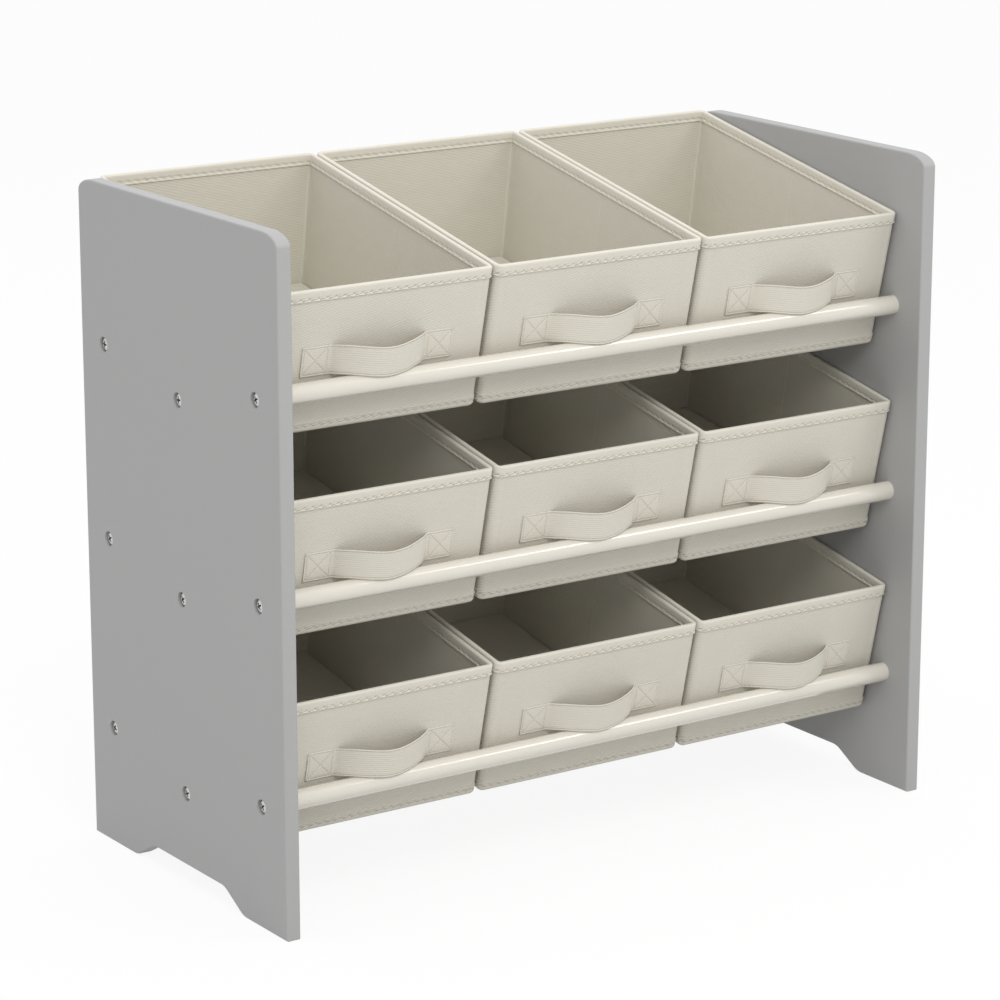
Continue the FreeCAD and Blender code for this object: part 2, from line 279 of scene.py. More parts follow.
@dataclass(frozen=True)
class CoatedTube(Finish):
    """A glossy baked coating on a steel tube."""

    ripple_size: float = 7.0 * MM
    ripple_depth: float = 0.03 * MM
    dust_scale: float = 900.0
    cloud_scale: float = 14.0
    darkest: float = 0.96
    coat: float = 0.6
    coat_roughness: float = 0.07

    def shader(self, maker: NodeMaker) -> Wire:
        """A glossy coat with a slow ripple and a little dust.

        Args:
            maker: The tree's node maker.

        Returns:
            The shader.
        """
        place = self.place(maker)
        ripple = maker.noise(place, 1 / self.ripple_size, 1.0)
        dust = maker.noise(place, self.dust_scale, 4.0)
        clouds = maker.noise(place, self.cloud_scale, 2.0)
        return maker.node("ShaderNodeBsdfPrincipled", values={
            "Base Color": self.shade(maker, clouds * 0.6 + dust * 0.4, self.darkest),
            "Roughness": dust * 0.06 + self.roughness,
            "Coat Weight": self.coat,
            "Coat Roughness": self.coat_roughness,
            "Normal": maker.relief(ripple, self.ripple_depth),
        })


@dataclass(frozen=True)
class PlatedSteel(Finish):
    """Dull bright plating on small steel parts, with painted shade where the recess map is 1."""

    # The plating's colour factor in the recess: painted shade.
    recess: float = 0.12
    pit_scale: float = 1800.0
    pit_depth: float = 0.02 * MM
    stain_scale: float = 420.0

    def shader(self, maker: NodeMaker) -> Wire:
        """Plating with tiny pits and stains, and painted shade in the recess.

        Args:
            maker: The tree's node maker.

        Returns:
            The shader.
        """
        place = self.place(maker)
        recess_map = maker.node("ShaderNodeUVMap", {"uv_map": RECESS_MAP})
        recess_shade = maker.node("ShaderNodeSeparateXYZ", values={0: recess_map})
        pits = maker.noise(place, self.pit_scale, 3.0)
        stains = maker.noise(place, self.stain_scale, 3.0)
        # In the recess the plating is painted dark, less metallic and rougher: painted shade.
        return maker.node("ShaderNodeBsdfPrincipled", values={
            "Base Color": self.shade(maker, (stains * 0.25 + 0.75) * (1.0 - recess_shade), self.recess),
            "Metallic": 1.0 - recess_shade * 0.6,
            "Roughness": stains * 0.18 + recess_shade * 0.3 + self.roughness,
            "Normal": maker.relief(pits, self.pit_depth),
        })


@dataclass(frozen=True)
class MouldedPlastic(Finish):
    """Plain moulded plastic with a fine mould grain."""

    grain_scale: float = 1500.0
    grain_depth: float = 0.02 * MM
    darkest: float = 0.93

    def shader(self, maker: NodeMaker) -> Wire:
        """Plastic with a fine grain.

        Args:
            maker: The tree's node maker.

        Returns:
            The shader.
        """
        grain = maker.noise(self.place(maker), self.grain_scale, 2.0)
        return maker.node("ShaderNodeBsdfPrincipled", values={
            "Base Color": self.shade(maker, grain, self.darkest),
            "Roughness": grain * 0.1 + self.roughness,
            "Normal": maker.relief(grain, self.grain_depth),
        })


@dataclass(frozen=True)
class GreyBoard(Finish):
    """Bare grey-brown board with short paper fibres."""

    fibre_scale: float = 700.0
    fibre_bend: float = 1.5
    fibre_depth: float = 0.05 * MM
    fleck_scale: float = 260.0
    darkest: float = 0.72

    def shader(self, maker: NodeMaker) -> Wire:
        """Board with fibres and flecks.

        Args:
            maker: The tree's node maker.

        Returns:
            The shader.
        """
        place = self.place(maker)
        fibres = maker.noise(place, self.fibre_scale, 5.0, self.fibre_bend)
        flecks = maker.node("ShaderNodeTexVoronoi", values={"Vector": place, "Scale": self.fleck_scale})
        return maker.node("ShaderNodeBsdfPrincipled", values={
            "Base Color": self.shade(maker, fibres * 0.8 + flecks * 0.4, self.darkest),
            "Roughness": self.roughness,
            "Normal": maker.relief(fibres, self.fibre_depth),
        })


@dataclass(frozen=True)
class Dents:
    """Where stitches press into cloth, placed on its weave map; the cloth is painted darker there as painted
    shade.
    """

    depth: float = 0.4 * MM
    shadow: float = 0.62
    shadow_tint: tuple[float, float, float] = (0.46, 0.43, 0.38)

    def share(self, maker: NodeMaker, along: Wire, across: Wire) -> Wire:
        """How deep the cloth is pressed.

        Args:
            maker: The tree's node maker.
            along: The weave map's first coordinate.
            across: The weave map's second coordinate.

        Returns:
            The depth, 0 to 1.
        """
        raise NotImplementedError


@dataclass(frozen=True)
class NeedleDents(Dents):
    """Dents under rows of slanted stitches; each row has its place and its strength."""

    rows: tuple[tuple[float, float], ...] = ()
    pitch: float = 7.6 * MM
    slope: float = 0.2
    below: float = 0.5 * MM
    width: float = 0.5 * MM

    def share(self, maker: NodeMaker, along: Wire, across: Wire) -> Wire:
        """Each dent follows its stitch's slant, just below it.

        Args:
            maker: The tree's node maker.
            along: The weave map's first coordinate.
            across: The weave map's second coordinate.

        Returns:
            The depth, 0 to 1.
        """
        turn = maker.math("FRACT", along / self.pitch + 0.5) - 0.5
        slanted = across - turn * (self.pitch * self.slope)
        depth = across * 0.0
        for place, strength in self.rows:
            off = (slanted - (place - self.below)) / self.width
            depth = maker.math("MAXIMUM", depth, maker.math("EXPONENT", off * off * -1.0) * strength)
        return depth


@dataclass(frozen=True)
class StrapDents(Dents):
    """Fine seams along a strap's two edges, and round and corner to corner on its two sewn ends."""

    length: float = 1.0
    near: float = 0.0
    far: float = 1.0
    low: float = 0.0
    high: float = 1.0
    width: float = 0.34 * MM

    def share(self, maker: NodeMaker, along: Wire, across: Wire) -> Wire:
        """The depth by the distance to the nearest seam.

        Args:
            maker: The tree's node maker.
            along: The weave map's first coordinate.
            across: The weave map's second coordinate.

        Returns:
            The depth, 0 to 1.
        """
        def nearer(first: Wire, second: Wire) -> Wire:
            """The smaller distance of two."""
            return maker.math("MINIMUM", maker.math("ABSOLUTE", first), maker.math("ABSOLUTE", second))

        end = maker.math("MINIMUM", along, self.length - along)
        slope = (self.high - self.low) / (self.far - self.near)
        climb = (end - self.near) * slope
        edges = nearer(across - self.low, across - self.high)
        sides = nearer(end - self.near, end - self.far)
        corners = nearer(across - self.low - climb, across - self.high + climb) / math.hypot(1, slope)
        beyond = maker.math("GREATER_THAN", end, self.far)
        off = nearer(edges, nearer(sides, corners + beyond)) / self.width
        return maker.math("EXPONENT", off * off * -1.0)


@dataclass(frozen=True)
class Cloth(Finish):
    """A woven cloth; its threads follow the weave map, which is in metres."""

    weave: Weave = Weave.TWILL
    pitch: float = 2.36 * MM
    rise: float = 0.3
    cross_lean: float = 0.35
    depth: float = 0.08 * MM
    darkest: float = 0.82
    sheen: float = 0.12
    specular: float = 0.25
    slub_scales: tuple[float, float] = (90.0, 900.0)
    cloud_scale: float = 45.0
    dents: Optional[Dents] = None

    def shader(self, maker: NodeMaker) -> Wire:
        """Cloth with its threads, slubs and a soft sheen.

        Args:
            maker: The tree's node maker.

        Returns:
            The shader.
        """
        place = maker.node("ShaderNodeUVMap", {"uv_map": WEAVE_MAP})
        along = maker.node("ShaderNodeSeparateXYZ", values={0: place})
        across = along.other("Y")
        threads = self.threads(maker, along, across)
        stretched = maker.node("ShaderNodeCombineXYZ", values={
            0: along * self.slub_scales[0], 1: across * self.slub_scales[1]})
        slubs = maker.noise(stretched, 1.0, 2.0)
        clouds = maker.noise(place, self.cloud_scale, 3.0)
        # The threads' valleys are painted darker as painted shade; the slubs and clouds are the cloth's own
        # uneven tone.
        color = self.shade(maker, threads * 0.62 + slubs * 0.2 + clouds * 0.25, self.darkest)
        height = threads + slubs * 0.35
        if self.dents:
            dents = self.dents.share(maker, along, across)
            height = height - dents * (self.dents.depth / self.depth)
            # The dents' colour is painted shade.
            shadow_color = [channel * dark for channel, dark in zip(srgb(*self.color), self.dents.shadow_tint)]
            color = maker.blend(dents * self.dents.shadow, color, (*shadow_color, 1.0))
        return maker.node("ShaderNodeBsdfPrincipled", values={
            "Base Color": color,
            "Roughness": slubs * 0.08 + self.roughness,
            "Specular IOR Level": self.specular,
            "Sheen Weight": self.sheen,
            "Sheen Roughness": 0.5,
            "Normal": maker.relief(height, self.depth),
        })

    def threads(self, maker: NodeMaker, along: Wire, across: Wire) -> Wire:
        """The height of the threads, 0 to 1.

        Args:
            maker: The tree's node maker.
            along: The weave map's first coordinate.
            across: The weave map's second coordinate.

        Returns:
            The height.
        """
        if self.weave is Weave.TWILL:
            valley = 1.0 - maker.wave((across - along * self.rise) / self.pitch)
            thread = maker.wave((along + across * self.cross_lean) / (self.pitch * 0.9))
            return (1.0 - maker.math("POWER", valley, 2.0)) * (thread * 0.25 + 0.75)
        if self.weave is Weave.PLAIN:
            return maker.wave(along / self.pitch) * 0.5 + maker.wave(across / self.pitch) * 0.5
        cord = maker.wave(across / self.pitch + 0.25)
        thread = maker.wave(along / (self.pitch * 0.55))
        return cord * 0.7 + thread * 0.3


@dataclass(frozen=True)
class Thread(Finish):
    """Twisted sewing thread."""

    twist: float = 0.5 * MM
    twist_depth: float = 0.06 * MM
    darkest: float = 0.88
    sheen: float = 0.2

    def shader(self, maker: NodeMaker) -> Wire:
        """Thread with a twist along each stitch.

        Args:
            maker: The tree's node maker.

        Returns:
            The shader.
        """
        x = maker.node("ShaderNodeSeparateXYZ", values={0: self.place(maker)})
        twist = maker.wave((x + x.other("Y") + x.other("Z") * 2.0) / self.twist)
        # The thread is painted darker in the twist's grooves as painted shade.
        return maker.node("ShaderNodeBsdfPrincipled", values={
            "Base Color": self.shade(maker, twist, self.darkest),
            "Roughness": twist * 0.1 + self.roughness,
            "Sheen Weight": self.sheen,
            "Normal": maker.relief(twist, self.twist_depth),
        })


PAINT = PaintedBoard("grey_satin_paint", (167, 167, 167), 0.46)
COATING = CoatedTube("ivory_coating", (215, 210, 199), 0.13)
PLATING = PlatedSteel("bright_plating", (220, 220, 218), 0.3)
NYLON = MouldedPlastic("natural_nylon", (228, 224, 212), 0.45)
STIFFENER = GreyBoard("grey_board", (176, 150, 116), 0.85)
TWILL = Cloth("cream_twill", (213, 209, 197), 0.86)
TAPE = Cloth("cream_tape", (216, 212, 200), 0.84, Weave.PLAIN, 0.9 * MM, depth=0.05 * MM, darkest=0.93)
WEBBING = Cloth("cream_webbing", (214, 210, 198), 0.84, Weave.RIBBED, 1.808 * MM, darkest=0.9)
THREAD = Thread("cream_thread", (228, 224, 212), 0.7)


# ---- Meshes ---------------------------------------------------------------------------------------

@dataclass
class Lattice:
    """Rows of points that make one skin, with the weave map's coordinates at each.

    The weave has one more station than the points where the stations close on themselves, and one
    more row where the rows do.
    """

    points: np.ndarray
    weave: np.ndarray
    stations_close: bool = True
    rows_close: bool = False

    def mesh(self, name: str) -> bpy.types.Mesh:
        """The skin as a smooth mesh whose faces point outwards.

        Args:
            name: The mesh's name.

        Returns:
            The mesh.
        """
        rows, stations = self.points.shape[:2]
        row = np.arange(rows if self.rows_close else rows - 1)[:, None]
        station = np.arange(stations if self.stations_close else stations - 1)[None, :]
        corners = [(row, station), (row, station + 1), (row + 1, station + 1), (row + 1, station)]
        faces = np.stack([(r % rows) * stations + s % stations for r, s in corners], -1).reshape(-1, 4)
        uvs = np.stack([self.weave[r, s] for r, s in corners], -2).reshape(-1, 2)
        mesh = bpy.data.meshes.new(name)
        mesh.from_pydata(self.points.reshape(-1, 3).tolist(), [], faces.tolist())
        layer = mesh.uv_layers.new(name=WEAVE_MAP)
        layer.data.foreach_set("uv", uvs.astype(np.float32).ravel())
        shell = bmesh.new()
        shell.from_mesh(mesh)
        bmesh.ops.remove_doubles(shell, verts=shell.verts, dist=WELD)
        bmesh.ops.recalc_face_normals(shell, faces=shell.faces)
        shell.to_mesh(mesh)
        shell.free()
        mesh.shade_smooth()
        return mesh


def new_object(name: str, data: bpy.types.ID, finish: Optional[Finish] = None) -> bpy.types.Object:
    """Links a mesh, a lamp or a camera to the scene as an object.

    Args:
        name: The object's name.
        data: Its mesh, lamp or camera.
        finish: Its finish, for a mesh that has none yet.

    Returns:
        The object.
    """
    made = bpy.data.objects.new(name, data)
    bpy.context.scene.collection.objects.link(made)
    if finish:
        data.materials.clear()
        data.materials.append(finish.material())
    return made


def bridge(shape: bmesh.types.BMesh, low: list[bmesh.types.BMVert], high: list[bmesh.types.BMVert]) -> None:
    """Joins two rings of corners by a band of faces.

    Args:
        shape: The shape that gets the faces.
        low: The corners of one ring.
        high: The corners of the other.
    """
    for i in range(len(low)):
        j = (i + 1) % len(low)
        shape.faces.new((low[i], low[j], high[j], high[i]))


def solid_object(name: str, shape: bmesh.types.BMesh, recess: float) -> bpy.types.Object:
    """Makes a closed shape an object, with one value all over its recess map.

    Args:
        name: The object's name.
        shape: The shape, which is freed.
        recess: The map's value.

    Returns:
        The object.
    """
    bmesh.ops.recalc_face_normals(shape, faces=shape.faces)
    layer = shape.loops.layers.uv.new(RECESS_MAP)
    for face in shape.faces:
        for corner in face.loops:
            corner[layer].uv = (recess, recess)
    mesh = bpy.data.meshes.new(name)
    shape.to_mesh(mesh)
    shape.free()
    return new_object(name, mesh)


def baked(carrier: bpy.types.Object) -> bpy.types.Mesh:
    """Takes an object's modifiers off it.

    Args:
        carrier: The object.

    Returns:
        The mesh that the modifiers made of it.
    """
    evaluated = carrier.evaluated_get(bpy.context.evaluated_depsgraph_get())
    mesh = bpy.data.meshes.new_from_object(evaluated)
    carrier.modifiers.clear()
    return mesh


def log_triangles(made: bpy.types.Object) -> None:
    """Logs how many triangles an object has."""
    log.info("%s: %d triangles", made.name, sum(len(face.vertices) - 2 for face in made.data.polygons))


def dress(node: str, finish: Finish) -> None:
    """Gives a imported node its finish.

    Args:
        node: The node's name.
        finish: The finish.
    """
    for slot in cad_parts[node].material_slots:
        slot.material = finish.material()
    log.info("%s: %s", node, finish.name)


def smooth_step(value: np.ndarray, low: float, high: float) -> np.ndarray:
    """0 below low, 1 above high and smooth between them."""
    share = np.clip((value - low) / (high - low), 0, 1)
    return share * share * (3 - 2 * share)


def bump(value: np.ndarray, center: float, width: float) -> np.ndarray:
    """A bell of height 1 about center."""
    return np.exp(-((value - center) / width) ** 2)


def running_sum(steps: np.ndarray) -> np.ndarray:
    """The sum of the steps before each place, from 0 to the sum of them all."""
    return np.concatenate([[0.0], np.cumsum(steps)])


def weave_grid(along: np.ndarray, across: np.ndarray) -> np.ndarray:
    """A weave map from the coordinates along the rows and across them."""
    return np.stack(np.broadcast_arrays(along, across), -1)


def flat_weave(points: np.ndarray) -> np.ndarray:
    """The weave map of level cloth, whose threads run straight across it."""
    closed = np.concatenate([points, points[:, :1]], 1)
    return closed[..., :2] + np.array([0, FLAT_SHIFT])


# ---- Stitches and screws, by geometry nodes --------------------------------------------------------

class Repeater:
    """A geometry node tree with named inputs, applied to an object's mesh."""

    def __init__(self, name: str, inputs: dict[str, str]) -> None:
        """Makes the tree.

        Args:
            name: The tree's name.
            inputs: Each input's name and socket type.
        """
        self.tree = bpy.data.node_groups.new(name, "GeometryNodeTree")
        self.tree.is_modifier = True
        self.tree.interface.new_socket("Geometry", in_out="INPUT", socket_type="NodeSocketGeometry")
        self.tree.interface.new_socket("Geometry", in_out="OUTPUT", socket_type="NodeSocketGeometry")
        self.sockets = {key: self.tree.interface.new_socket(key, in_out="INPUT", socket_type=kind).identifier
                        for key, kind in inputs.items()}
        self.maker = NodeMaker(self.tree)
        self.source = self.maker.node("NodeGroupInput", output="Geometry")

    def chance(self, low: Value, high: Value, seed: Value) -> Wire:
        """A random number between two, drawn anew for each instance."""
        return self.maker.node("FunctionNodeRandomValue", {"data_type": "FLOAT"}, {
            2: low, 3: high, "Seed": seed}, 1)

    def finish(self, instances: Wire) -> None:
        """Ends the tree: real meshes with the material that the input names.

        Args:
            instances: The instances that the tree has made.
        """
        real = self.maker.node("GeometryNodeRealizeInstances", values={"Geometry": instances})
        painted = self.maker.node("GeometryNodeSetMaterial", values={
            "Geometry": real, "Material": self.source.other("Material")})
        self.maker.node("NodeGroupOutput", values={"Geometry": painted})

    def apply(self, name: str, guide: bpy.types.Mesh, values: dict[str, object]) -> bpy.types.Object:
        """Runs the tree on a guide mesh.

        Args:
            name: The new object's name.
            guide: The mesh that the tree starts from.
            values: The inputs' values, by name.

        Returns:
            A new object with a plain mesh.
        """
        carrier = new_object(name + "_guide", guide)
        modifier = carrier.modifiers.new("repeat", "NODES")
        modifier.node_group = self.tree
        for key, value in values.items():
            modifier[self.sockets[key]] = value
        mesh = baked(carrier)
        mesh.name = name
        bpy.data.objects.remove(carrier)
        return new_object(name, mesh)


class Spacing(Enum):
    """How stitches are spaced along a line."""

    COUNT = ("COUNT", "Count", "NodeSocketInt")
    PITCH = ("LENGTH", "Length", "NodeSocketFloat")


class Stitcher(Repeater):
    """Sews running stitches along guide lines."""

    SEGMENTS = 7
    RINGS = 5
    FLATNESS = 0.9
    LEAST_SIZE = 0.9
    MOST_SIZE = 1.08
    SIZE_SEED = 7

    def __init__(self, spacing: Spacing) -> None:
        """Builds the tree: stitches at even steps, laid along each line and flat on the cloth.

        Args:
            spacing: Whether the input "Step" is the number of stitches on a line or their pitch.
        """
        mode, step, kind = spacing.value
        super().__init__(f"stitches_by_{spacing.name.lower()}", {
            "Step": kind, "Length": "NodeSocketFloat", "Thickness": "NodeSocketFloat",
            "Slant": "NodeSocketFloat", "Wander": "NodeSocketFloat", "Seed": "NodeSocketInt",
            "Material": "NodeSocketMaterial"})
        make, source = self.maker, self.source
        wander, seed, thickness = (source.other(name) for name in ("Wander", "Seed", "Thickness"))
        line = make.node("GeometryNodeMeshToCurve", values={"Mesh": source})
        steps = make.node("GeometryNodeResampleCurve", {"mode": mode}, {
            "Curve": line, step: source.other("Step")})
        tangent = make.node("GeometryNodeInputTangent")
        outward = make.node("GeometryNodeInputNamedAttribute", {"data_type": "FLOAT_VECTOR"}, {
            "Name": OUTWARD})
        lengthwise = make.node("FunctionNodeAlignRotationToVector", {"axis": "X"}, {"Vector": tangent})
        flat = make.node("FunctionNodeAlignRotationToVector", {"axis": "Z", "pivot_axis": "X"}, {
            "Rotation": lengthwise, "Vector": outward})
        turn = make.node("ShaderNodeCombineXYZ", values={
            2: source.other("Slant") + self.chance(wander * -1.0, wander, seed)})
        slanted = make.node("FunctionNodeRotateRotation", {"rotation_space": "LOCAL"}, {
            "Rotation": flat, "Rotate By": turn})
        half = thickness * 0.5
        size = make.node("ShaderNodeCombineXYZ", values={
            0: source.other("Length") * 0.5, 1: half, 2: half * self.FLATNESS})
        grain = make.node("GeometryNodeMeshUVSphere", values={
            "Segments": self.SEGMENTS, "Rings": self.RINGS, "Radius": 1.0})
        smooth = make.node("GeometryNodeSetShadeSmooth", values={"Geometry": grain})
        stitch = make.node("GeometryNodeTransform", values={"Geometry": smooth, "Scale": size})
        self.finish(make.node("GeometryNodeInstanceOnPoints", values={
            "Points": steps, "Instance": stitch, "Rotation": slanted,
            "Scale": self.chance(self.LEAST_SIZE, self.MOST_SIZE, seed + self.SIZE_SEED)}))


class ScrewDriver(Repeater):
    """Sets one screw at each point, each turned by chance about its own axis."""

    def __init__(self) -> None:
        """Builds the tree: the screw's axis is X, turned to the side given in radians."""
        super().__init__("set_screws", {
            "Screw": "NodeSocketObject", "Side": "NodeSocketFloat", "Seed": "NodeSocketInt",
            "Material": "NodeSocketMaterial"})
        make, source = self.maker, self.source
        info = make.node("GeometryNodeObjectInfo", values={"Object": source.other("Screw")},
                         output="Geometry")
        spin = self.chance(0.0, math.pi, source.other("Seed"))
        turn = make.node("ShaderNodeCombineXYZ", values={0: spin, 2: source.other("Side")})
        self.finish(make.node("GeometryNodeInstanceOnPoints", values={
            "Points": source, "Instance": info, "Rotation": turn}))


@dataclass
class GuideLines:
    """Lines for stitches, as a mesh of edges that knows which way the cloth faces."""

    points: list[np.ndarray] = field(default_factory=list)
    outward: list[np.ndarray] = field(default_factory=list)
    edges: list[tuple[int, int]] = field(default_factory=list)

    def add(self, points: np.ndarray, outward: np.ndarray, closed: bool = False) -> None:
        """Adds one line.

        Args:
            points: The line's points.
            outward: The way the cloth faces at each point.
            closed: Whether the line ends where it starts.
        """
        first = sum(len(line) for line in self.points)
        count = len(points)
        self.points.append(points)
        self.outward.append(np.broadcast_to(outward, points.shape))
        self.edges += [(first + i, first + i + 1) for i in range(count - 1)]
        if closed:
            self.edges.append((first + count - 1, first))

    def mesh(self, name: str) -> bpy.types.Mesh:
        """The lines as one mesh of edges.

        Args:
            name: The mesh's name.

        Returns:
            The mesh.
        """
        mesh = bpy.data.meshes.new(name)
        mesh.from_pydata(np.concatenate(self.points).tolist(), self.edges, [])
        facing = mesh.attributes.new(OUTWARD, "FLOAT_VECTOR", "POINT")
        facing.data.foreach_set("vector", np.concatenate(self.outward).astype(np.float32).ravel())
        return mesh


# ---- The frame of panels and rails -----------------------------------------------------------------

@dataclass
class RackFrame:
    """Side panels, rails, their plugs and the screws that hold them."""

    head_radius: float = 5.3 * MM
    head_height: float = 3.4 * MM
    head_edge: float = 1.1 * MM
    dome: float = 0.8 * MM
    shank_radius: float = 3.0 * MM
    shank_length: float = 30.0 * MM
    tip_length: float = 1.2 * MM
    tip_scale: float = 0.8
    head_below_face: float = 0.8 * MM
    recess_length: float = 6.2 * MM
    recess_width: float = 1.5 * MM
    recess_depth: float = 2.1 * MM
    recess_taper: float = 0.45
    cutter_flare: float = 0.4
    cutter_proud: float = 1.0 * MM
    around: int = 48
    arc_steps: int = 5
    sharp_from: float = math.radians(32)
    screw_seed: int = 5

    def build(self) -> None:
        """Dresses the panels, rails and plugs, and makes the screws."""
        for node in ("left_panel", "right_panel"):
            dress(node, PAINT)
        for node in self.rails():
            dress(node, COATING)
        dress("rail_end_plugs", NYLON)
        prototype = self.screw()
        driver = ScrewDriver()
        for side, sign in (("left", -1), ("right", 1)):
            self.set_screws(driver, prototype, side, sign)
        bpy.data.objects.remove(prototype)

    @staticmethod
    def rails() -> list[str]:
        """The names of the rails' nodes."""
        return [f"{tier}_{place}_rail" for tier in TIERS for place in ("front", "center", "back")]

    @staticmethod
    def axis(rail: str) -> Vector:
        """A rail's middle, on its axis."""
        low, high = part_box(rail)
        return (low + high) / 2

    def profile(self) -> list[tuple[float, float]]:
        """The screw's profile, from its tip to the middle of its domed head.

        Returns:
            Places along its axis with the radius at each.
        """
        top, edge = self.head_height, self.head_edge
        steps = range(1, self.arc_steps + 1)
        outline = [(-self.shank_length, 0.0), (-self.shank_length, self.shank_radius * self.tip_scale),
                   (-self.shank_length + self.tip_length, self.shank_radius), (0.0, self.shank_radius),
                   (0.0, self.head_radius), (top - edge - self.dome, self.head_radius)]
        for turn in (math.pi / 2 * step / self.arc_steps for step in steps):
            outline.append((top - self.dome - edge * (1 - math.sin(turn)),
                            self.head_radius - edge * (1 - math.cos(turn))))
        for share in (1 - step / self.arc_steps for step in steps):
            outline.append((top - self.dome * share ** 2, (self.head_radius - edge) * share))
        return outline

    def screw(self) -> bpy.types.Object:
        """One round-head screw with a tapered cross recess, its seat at the origin and its head along +X.

        Returns:
            The screw, as an object that the driver copies.
        """
        turned = bmesh.new()
        angles = np.arange(self.around) / self.around * math.tau
        rings = [[turned.verts.new((x, r * math.cos(a), r * math.sin(a))) for a in angles]
                 for x, r in self.profile()]
        for low, high in zip(rings, rings[1:]):
            bridge(turned, low, high)
        bmesh.ops.remove_doubles(turned, verts=turned.verts, dist=WELD)
        screw = solid_object("screw", turned, 0.0)
        cutter = self.cross_cutter()
        cut = screw.modifiers.new("recess", "BOOLEAN")
        cut.object, cut.operation, cut.solver, cut.use_self = cutter, "DIFFERENCE", "EXACT", True
        screw.data = baked(screw)
        bpy.data.objects.remove(cutter)
        screw.data.shade_smooth()
        screw.data.set_sharp_from_angle(angle=self.sharp_from)
        return screw

    def cross_cutter(self) -> bpy.types.Object:
        """The tool that presses the cross recess: two blades that taper towards the head's inside.

        Returns:
            The tool.
        """
        blades = bmesh.new()
        ends = ((self.head_height + self.cutter_proud, 1 + self.cutter_flare * (1 - self.recess_taper)),
                (self.head_height - self.recess_depth, self.recess_taper))
        for order in (1, -1):
            rings = []
            for x, scale in ends:
                y, z = (self.recess_length * scale / 2, self.recess_width * (1 + scale) / 4)[::order]
                rings.append([blades.verts.new((x, y * across, z * up))
                              for across, up in ((-1, -1), (1, -1), (1, 1), (-1, 1))])
            bridge(blades, *rings)
            for ring in rings:
                blades.faces.new(ring)
        # The cutter's faces carry 1 on the recess map into the screw, where the plating gets painted shade.
        return solid_object("cross_cutter", blades, 1.0)

    def set_screws(self, driver: ScrewDriver, prototype: bpy.types.Object, side: str, sign: int) -> None:
        """Sets the nine screws of one panel.

        Args:
            driver: The tree that sets them.
            prototype: The screw to copy.
            side: Which panel.
            sign: -1 on the left and 1 on the right.
        """
        low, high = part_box(f"{side}_panel")
        outer = high.x if sign > 0 else low.x
        seat = outer - sign * (self.head_below_face + self.head_height)
        points = bpy.data.meshes.new(f"{side}_screw_points")
        points.from_pydata([(seat, self.axis(rail).y, self.axis(rail).z) for rail in self.rails()], [], [])
        screws = driver.apply(f"{side}_screws", points, {
            "Screw": prototype, "Side": 0.0 if sign > 0 else math.pi, "Seed": self.screw_seed + sign,
            "Material": PLATING.material()})
        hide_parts(f"{side}_panel_screws")
        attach(screws, "frame")
        log_triangles(screws)


# ---- Bins -------------------------------------------------------------------------------------------

@dataclass(frozen=True)
class BinShape:
    """A bin's shape in its own frame: its base on z = 0 and the base's front edge on y = 0."""

    width: float = 197.8 * MM
    depth: float = 262.0 * MM
    height: float = 114.5 * MM
    spread: float = 4.6 * MM
    wall: float = 2.6 * MM
    floor: float = 1.0 * MM
    outer_corner: float = 5.5 * MM
    inner_corner: float = 2.0 * MM
    least_corner: float = 0.8 * MM
    base_rounding: float = 4.0 * MM
    floor_sag: float = 4.5 * MM
    sag_depth: float = 96.0 * MM
    binding: float = 0.8 * MM
    binding_height: float = 9.5 * MM
    running_gap: float = 0.3 * MM

    @property
    def rim_half(self) -> float:
        """Half the thickness of the bound rim."""
        return self.wall / 2 + self.binding

    @property
    def tape_span(self) -> float:
        """The way over the bound rim, from the tape's edge outside to its edge inside."""
        return 2 * (self.binding_height - self.rim_half) + math.pi * self.rim_half

    def corner(self, inset: np.ndarray) -> np.ndarray:
        """The radius of the upright corners at an inset from the wall's outside."""
        rate = (self.outer_corner - self.inner_corner) / self.wall
        return np.maximum(self.outer_corner - inset * rate, self.least_corner)

    def sag(self, depth: np.ndarray) -> np.ndarray:
        """How far the base hangs below z = 0 at a depth, in front of the center rail."""
        return self.floor_sag * np.clip(1 - depth / self.sag_depth, 0, 1) ** 2


